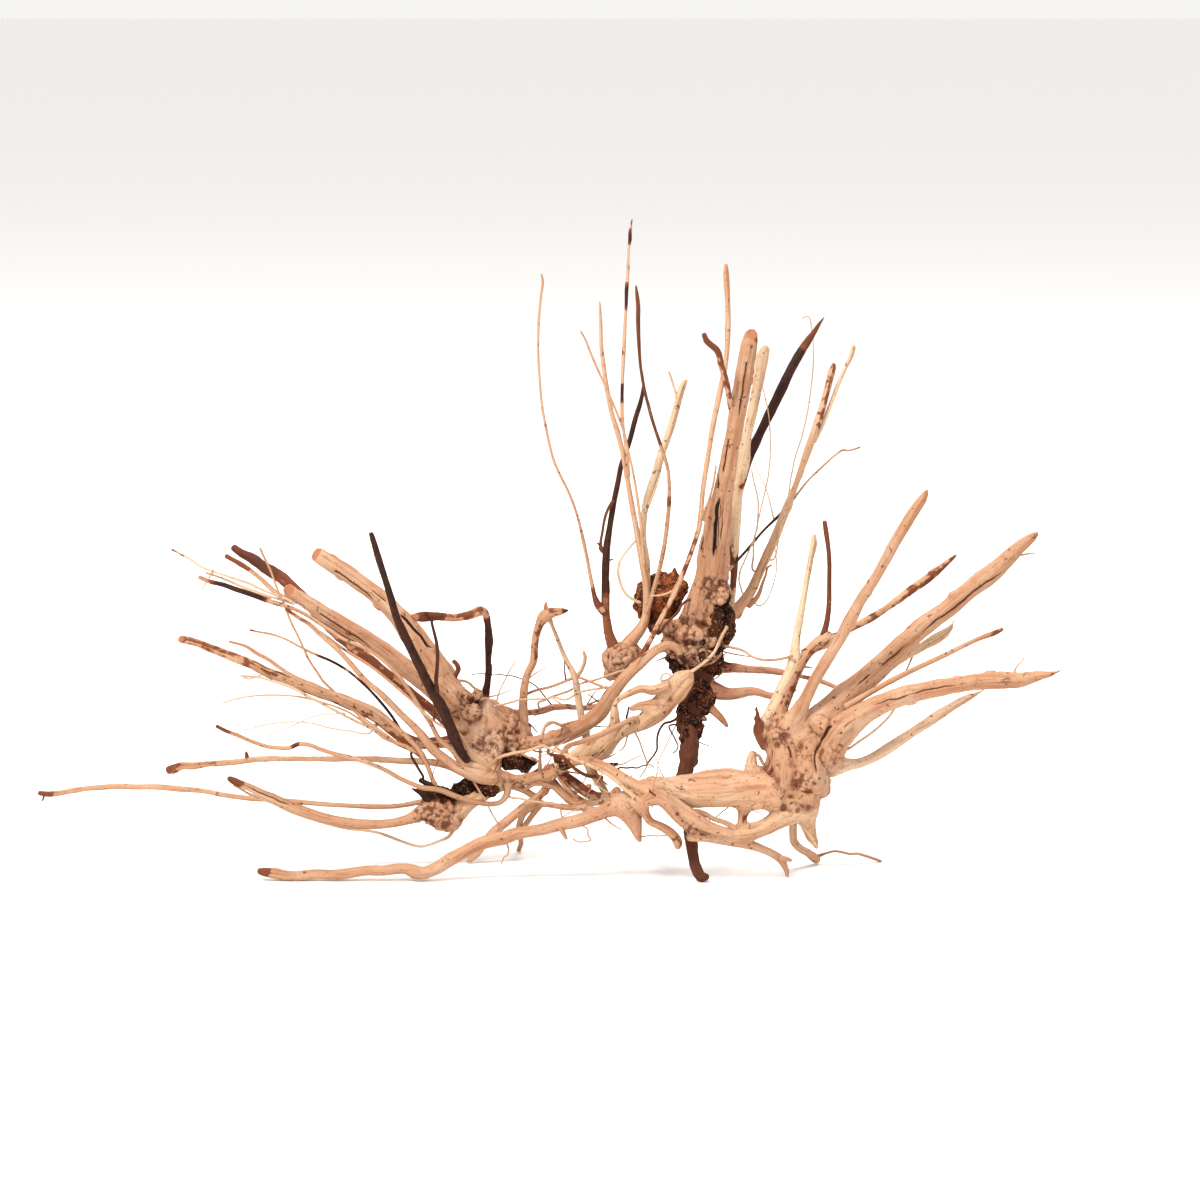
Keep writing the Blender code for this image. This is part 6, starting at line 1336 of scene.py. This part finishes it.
# The finest roots are read as plain lines: tone, bark, thickness, how far the far end leans back from the
# start (none where it comes back to the wood), and the line, in pixels. Each starts on the nearest root.
fineRoots = {
    "leftStrand": ("cream", 0, 2.2, 2, ((271, 598), (256, 593), (243, 589))),
    "leftCross": ("tan", 0.2, 2, -4, ((213, 570), (209, 578), (206, 583), (203, 588))),
    "leftCurl": ("cream", 0, 2.5, -6, ((272, 671), (267, 673), (258, 676), (248, 679), (240, 675))),
    "leftSlant": ("pale", 0, 2.5, -12, ((386, 726), (369, 724), (348, 712), (321, 702), (300, 697),
        (275, 695), (253, 696), (232, 700), (222, 703.5))),
    "leftArcLow": ("cream", 0, 1.8, -4, ((371, 732), (350, 731), (330, 728), (310, 723), (290, 722),
        (270, 724), (250, 729), (236, 733))),
    "leftArcHigh": ("cream", 0, 1.6, 6, ((345, 714), (335, 714), (320, 715), (305, 720), (290, 727),
        (275, 733), (258, 741))),
    "leftThorn": ("brown", 0.6, 3, 0, ((246, 752), (248.5, 758), (249, 760))),
    "leftSpur": ("brown", 0.5, 2.5, 0, ((45, 794), (43, 799), (42.5, 801))),
    "burlStrand": ("pale", 0, 2.6, None, ((456, 681), (462.7, 680.7), (468, 682.3), (473.3, 687),
        (478.3, 691.3), (484.4, 696.7), (488.3, 702), (493.6, 707))),
    "burlPipe": ("pale", 0, 6, None, ((474, 695), (485, 702), (497, 711))),
    "lowTwig": ("tan", 0.3, 2.3, -6, ((474, 781.5), (477, 787), (481, 793.7), (485.3, 799.7), (488.8, 807.5),
        (494, 817), (499, 825), (502.7, 830.5))),
    "darkShort": ("brown", 0.9, 3, None, ((411, 754), (414, 761), (418.6, 769), (423, 779))),
    "floorHook": ("tan", 0.2, 2, -3, ((507, 844), (508.5, 850), (507.5, 855), (503, 858), (502.5, 861),
        (501.5, 864))),
    "floorCurl": ("tan", 0.3, 1.8, -8, ((562, 803), (561, 810), (562, 817), (568, 821), (575, 823),
        (583, 826), (587.5, 829), (588, 835), (591, 840), (586, 841.5), (576, 841), (573.5, 839))),
    "floorHair": ("tan", 0.2, 1.6, 0, ((643, 836.5), (650, 835.5), (660, 836), (667, 835))),
    "longHair": ("pale", 0, 2.2, None, ((482, 711), (488, 709), (495, 706), (503, 704.5), (512, 702),
        (520, 699.7), (530, 699.3), (548, 698.3), (556, 697.5), (562, 699.5), (567, 699.3), (572, 696.5),
        (577, 693.5), (584, 691), (592, 689.5), (600, 688.5), (608, 687.5))),
    "highHair": ("pale", 0, 2.3, None, ((634, 665), (628, 669), (620, 671.5), (612, 674), (604, 677),
        (595, 680), (580, 684), (570, 690.5), (560, 694), (550, 697.5), (545, 700), (538.5, 702.5))),
    "darkHair": ("brown", 1, 1.6, -4, ((553, 707), (550, 703), (546, 698), (542, 693), (538, 688), (533, 684),
        (527, 681), (519, 678), (513, 676), (507, 675.5), (500, 674.6), (493, 675), (486, 674), (480, 673.7),
        (472, 674.5))),
    "paleStalk": ("cream", 0, 2, -4, ((495, 707), (497, 700), (500, 690), (505, 680), (510, 670),
        (515.5, 661))),
    "blackSprig": ("brown", 1, 1.6, 0, ((602, 700), (600, 702), (594, 698.5), (588, 694))),
    "tanSprig": ("tan", 0.2, 2, 0, ((587, 706), (590.5, 699), (595.5, 691))),
    "underTwig": ("tan", 0.3, 2, None, ((562, 724), (561.5, 731), (556, 737), (549, 741), (542, 745))),
    "underTwigTwo": ("tan", 0.4, 2.5, None, ((537, 761), (528, 757), (520, 753), (513, 750))),
    "frontHair": ("pale", 0, 2.2, None, ((510, 797), (520, 798.5), (530, 801), (540, 802), (550, 803.5),
        (560, 804.5), (572, 805), (580, 804), (587, 801), (595, 798), (603, 795.5))),
    "paleLink": ("pale", 0, 4.6, None, ((600, 767), (612, 775), (620, 781), (628, 787), (635, 793),
        (641, 799))),
    "tangleRough": ("tan", 0.4, 5.5, None, ((556, 772), (566, 786), (577, 797), (590, 803), (604, 801),
        (618, 790))),
    "tangleStrand": ("tan", 0.2, 5, None, ((566, 748), (580, 742), (594, 738), (608, 731), (622, 724),
        (636, 719))),
    "tangleStrandTwo": ("pink", 0.2, 5, None, ((545, 770), (560, 764), (576, 762), (590, 757), (604, 748),
        (612, 736))),
    "tangleStrandThree": ("tan", 0.3, 4, None, ((520, 790), (536, 784), (550, 786), (562, 794), (576, 792),
        (590, 786))),
    "tangleDark": ("brown", 0.55, 3.5, None, ((548, 752), (562, 757), (574, 768), (588, 776), (602, 778))),
    "jointRough": ("pink", 0.2, 7, None, ((500, 782), (512, 786), (524, 790), (536, 796), (546, 790))),
    "curlRing": ("cream", 0, 2, None, ((661, 677), (664, 674), (669, 674), (672, 678))),
    "slabTwig": ("brown", 1, 2.5, -3, ((626.5, 718), (628, 712), (628.5, 707))),
    "slabTwigTwo": ("brown", 0.8, 2.2, -3, ((624.5, 720), (621.5, 726), (619, 727))),
    "slabTwigThree": ("brown", 1, 1.6, -3, ((641.5, 713), (640, 722), (637.5, 730))),
    "squiggle": ("brown", 1, 1.8, -3, ((619, 768), (627, 768), (632, 767.5), (637, 768), (642, 766),
        (647, 765), (651, 765), (654, 767.5))),
    "tanSquiggle": ("tan", 0.2, 2, -4, ((609, 765), (616, 765), (623, 764), (629, 761), (634, 758.5),
        (641, 755.5))),
    "hanging": ("tan", 0.3, 2, -3, ((632, 731), (628, 735), (626, 742), (624, 747), (621, 750),
        (619, 750.5))),
    "hangingLong": ("tan", 0.3, 2, 5, ((635, 732), (639, 740), (642, 749), (645, 757), (647, 763), (646, 768),
        (643, 773), (640, 777))),
    "tapTwig": ("brown", 0.8, 3, 3, ((680, 712), (677, 718), (670, 722), (665, 723), (660, 729), (657.5, 736),
        (657, 743), (657, 749), (654, 755), (650, 760), (647, 764))),
    "tapTwigSide": ("brown", 0.6, 2, 3, ((669, 727), (673, 735), (676, 741), (678, 746), (676, 751),
        (673, 753))),
    "tapHair": ("pink", 0, 1.2, 6, ((677, 725), (671, 735), (665, 748), (659, 760), (657, 772), (655, 782))),
    "tapRibbon": ("pale", 0, 3, None, ((708, 703), (705, 710), (704, 717), (706, 719))),
    "stemSpur": ("brown", 1, 2, -2, ((601, 545), (598.5, 544), (597, 543))),
    "stemSpurTwo": ("brown", 1, 2.2, -2, ((607, 560), (611, 560), (613, 559))),
    "stripTop": ("pale", 0.2, 3.4, 2, ((704, 520), (709, 500), (713, 485), (716, 466))),
    "highStrand": ("pale", 0, 2.8, 19, ((738, 618), (744, 608), (752, 595), (760, 580), (766, 566),
        (772, 553), (778, 540), (783, 527), (785, 520), (788, 513), (791, 505), (793, 500))),
    "tallHair": ("cream", 0, 1.8, 26, ((770, 560), (780, 530), (787.5, 500), (789.5, 490), (790.5, 480),
        (792.5, 470), (794.5, 460), (797.5, 450), (801, 440), (804, 428), (807, 415), (809.5, 400),
        (811.5, 385), (813, 370), (813.5, 355), (813, 341), (811, 324), (809.5, 318), (806, 316),
        (802.5, 318.5))),
    "stemHair": ("cream", 0, 1.8, 4, ((742, 592), (741, 588), (739, 580), (740, 572), (744, 562), (748, 553),
        (751.5, 545), (756, 533), (758.5, 520), (763, 500), (767.5, 480), (770, 460), (770.5, 445),
        (770, 430), (769, 418), (767, 405), (764.5, 395), (762.5, 386))),
    "stemHairTwo": ("cream", 0, 2.2, 2, ((754, 571), (753.5, 555), (754, 540), (757, 528), (758, 515),
        (758, 500), (756, 490), (753.5, 480), (751.5, 470))),
    "stemHairThree": ("tan", 0.2, 1.5, 4, ((759, 606), (762, 605), (767.5, 599), (771.5, 590), (774.5, 580),
        (776.5, 570), (776.5, 560), (775, 548))),
    "stemHairFour": ("cream", 0, 1.5, 3, ((774, 520), (771, 507), (768, 495), (765, 486), (762, 480),
        (758, 472), (754.5, 463))),
    "sideHair": ("pale", 0, 2, 0, ((719.7, 650.4), (729, 653), (739, 655), (751, 656.8))),
    "barkStrip": ("brown", 0.7, 2.6, None, ((688, 600), (681, 606), (678, 612), (672, 618), (665, 625),
        (658, 634))),
    "rightFork": ("pale", 0.1, 2.5, 2, ((1020, 555), (1027, 554), (1035, 553))),
    "rightForkTwo": ("pale", 0, 2.2, 2, ((1015, 670), (1018, 665), (1022, 661), (1024, 658))),
    "flakeRibbon": ("pale", 0.2, 2.6, 0, ((914, 653), (911, 660), (908, 667), (906, 671))),
    "ridgeRibbon": ("pale", 0, 3.2, None, ((757, 755), (762, 762), (764, 766), (760, 771), (752, 775),
        (740, 778), (725, 780), (710, 782))),
    "footHair": ("tan", 0.2, 1.7, 0, ((728, 807), (722, 812), (716, 817), (709, 820))),
    "footHairTwo": ("tan", 0, 1.3, 0, ((749, 809), (757, 812), (764, 815))),
    "footStrand": ("pale", 0, 3, -3, ((797, 821), (803, 827), (809, 834), (814, 841), (817, 848))),
    "elbowSpur": ("tan", 0.4, 3, -3, ((802, 651), (806, 649), (808, 654), (807, 657))),
    "knotSpur": ("tan", 0.3, 3, -2, ((803, 667), (807, 667), (812, 668))),
    "knotSpurTwo": ("brown", 0.5, 3, -2, ((788, 693), (791, 692), (796, 690))),
}
fineLook = {
    "step": 0.0014, "sides": 12, "tip": 0.6,  # the tip's share of the thickness
    "jump": 1.5,  # pixels from the root beyond which the line is led on to it
    "far": 0.008,  # a gap that is worth a note
    "nearer": 0.00002,  # how much a root counts as farther off for each millimetre that it lies back
}


# A fine root's start, and its end where that comes back to the wood, take the depth of the root that shows
# nearest there, and the line is led on to that root's own middle.
def makeFineRoots():
    centres = stacked(allPaths, "centre")
    across, down = toPhoto(centres)
    radius = stacked(allPaths, "radius")

    def meet(spot):
        gap = np.hypot(across - spot[0], down - spot[1]) * pixel - radius
        gap = gap + fineLook["nearer"] * centres[:, 1] / mm
        index = gap.argmin()
        return (across[index], down[index]), (centres[index, 1] - photo["shift"][1]) / mm, gap[index]

    paths = []
    for name, (tone, bark, thick, lean, line) in fineRoots.items():
        start, nearDepth, gap = meet(line[0])
        end, farDepth, endGap = meet(line[-1]) if lean is None else (None, nearDepth + lean, 0)
        if max(gap, endGap) > fineLook["far"]:
            print("far from the wood:", name, round(gap / mm, 1), round(endGap / mm, 1))
        spots = [start, *line] if math.dist(start, line[0]) > fineLook["jump"] else list(line)
        if end and math.dist(end, line[-1]) > fineLook["jump"]:
            spots.append(end)
        taper = np.linspace(1, 1 if end else fineLook["tip"], len(spots)) * thick
        reads = [(*spot, wide) for spot, wide in zip(spots, taper)]
        row = (tone, ((0, 1, bark),) if bark else (), "", 1, (nearDepth, farDepth), reads)
        paths.append(smoothPath(row, fineLook["step"]))
    made = thinRoots("fineRoots", paths, wood, fineLook["sides"])
    print("fineRoots", len(paths), "with", len(made.data.polygons), "faces")


makeFineRoots()

rootlets = {
    "count": 120, "seed": 5, "step": 0.0016, "sides": 10,
    "length": (9, 34), "thick": (0.9, 2.3), "lowestStart": 835, "lowestTip": 850,  # pixels
    "homes": ((485, 735, 45, 45), (610, 735, 85, 45), (690, 640, 34, 55), (650, 800, 70, 25)),
    "barkEvery": 7,
}


# Broken rootlets that no line was read for: each starts on a root near a crown or in the tangle, at a seeded
# place, and bends once on its way out.
def makeRootlets():
    draw = np.random.RandomState(rootlets["seed"])
    centres = stacked(allPaths, "centre")
    across, down = toPhoto(centres)
    weight = np.zeros(len(centres))
    for u, v, wide, high in rootlets["homes"]:
        weight = np.maximum(weight, np.exp(-(((across - u) / wide) ** 2 + ((down - v) / high) ** 2)))
    weight *= down < rootlets["lowestStart"]
    paths = []
    for number, index in enumerate(draw.choice(len(centres), rootlets["count"], p=weight / weight.sum())):
        turn, length = draw.uniform(0, 2 * math.pi), draw.uniform(*rootlets["length"])
        thick = draw.uniform(*rootlets["thick"]) * (0.6 + length / 50)
        start = np.array([across[index], down[index]])
        way = np.array([math.cos(turn), math.sin(turn) * 0.8])
        bend = np.array([-way[1], way[0]]) * draw.uniform(-0.5, 0.5) * length
        spots = [start + way * length * share + bend * share * share for share in (0, 0.3, 0.6, 1)]
        if spots[-1][1] > rootlets["lowestTip"]:
            continue
        depth = (centres[index, 1] - photo["shift"][1]) / mm
        reads = [(*spot, thick * taper) for spot, taper in zip(spots, (1, 0.9, 0.75, 0.45))]
        tone = ("tan", "pale", "pink", "brown")[number % 4]
        barks = ((0, 1, 0.75),) if number % rootlets["barkEvery"] == 0 else ()
        row = (tone, barks, "", 1, (depth, depth + draw.uniform(-0.5, 0.5) * length), reads)
        paths.append(smoothPath(row, rootlets["step"]))
    made = thinRoots("rootlets", paths, wood, rootlets["sides"])
    print("rootlets", len(paths), "with", len(made.data.polygons), "faces")


makeRootlets()

# Floor, light and camera.

studio = {
    "floor": 60.0, "floorColour": (0.93, 0.925, 0.92), "floorRough": 0.9,
    "world": (1.0, 0.99, 0.975), "worldStrength": 0.92, "aimedAt": (0, 0, 0.15),
    # name: (from, size, power, colour), each aimed at the middle of the root
    "lamps": {
        "key": ((-1.5, -1.7, 3.0), 0.9, 150, (1.0, 0.96, 0.9)),
        "fill": ((2.2, -2.4, 1.0), 2.0, 16, (1.0, 0.97, 0.93)),
        "top": ((0.5, 0.9, 2.8), 1.2, 50, (1.0, 0.98, 0.95)),
    },
}


def aim(obj, spot, target):
    away = np.array(target) - np.array(spot)
    level = math.hypot(away[0], away[1])
    obj.location = spot
    obj.rotation_euler = (math.pi / 2 + math.atan2(away[2], level), 0, math.atan2(-away[0], away[1]))


def makeStudio():
    half = studio["floor"] / 2
    corners = np.array([[-half, -half, 0], [half, -half, 0], [half, half, 0], [-half, half, 0]])
    mesh = newMesh("floor", corners, (np.array([[0, 1, 2, 3]]),))
    floor = bpy.data.objects.new("floor", mesh)
    bpy.context.scene.collection.objects.link(floor)
    material = bpy.data.materials.new("paleFloor")
    material.use_nodes = True
    shader = material.node_tree.nodes["Principled BSDF"]
    shader.inputs["Base Color"].default_value = (*studio["floorColour"], 1)
    shader.inputs["Roughness"].default_value = studio["floorRough"]
    mesh.materials.append(material)
    world = bpy.data.worlds.new("studio")
    world.use_nodes = True
    sky = world.node_tree.nodes["Background"]
    sky.inputs["Color"].default_value = (*studio["world"], 1)
    sky.inputs["Strength"].default_value = studio["worldStrength"]
    bpy.context.scene.world = world
    bpy.context.scene.view_settings.view_transform = "Standard"  # the colours above are screen colours
    for name, (spot, size, power, colour) in studio["lamps"].items():
        light = bpy.data.lights.new(name, "AREA")
        light.size, light.energy, light.color = size, power, colour
        lamp = bpy.data.objects.new(name, light)
        bpy.context.scene.collection.objects.link(lamp)
        aim(lamp, spot, studio["aimedAt"])


def makeCamera():
    lens = bpy.data.cameras.new("camera")
    lens.sensor_width = photo["sensor"]
    lens.lens = photo["sensor"] * photo["distance"] / photo["width"]
    camera = bpy.data.objects.new("camera", lens)
    bpy.context.scene.collection.objects.link(camera)
    aim(camera, tuple(eye), tuple(eye + forward))
    bpy.context.scene.camera = camera


makeStudio()
makeCamera()
print("stage, lamps and camera done")
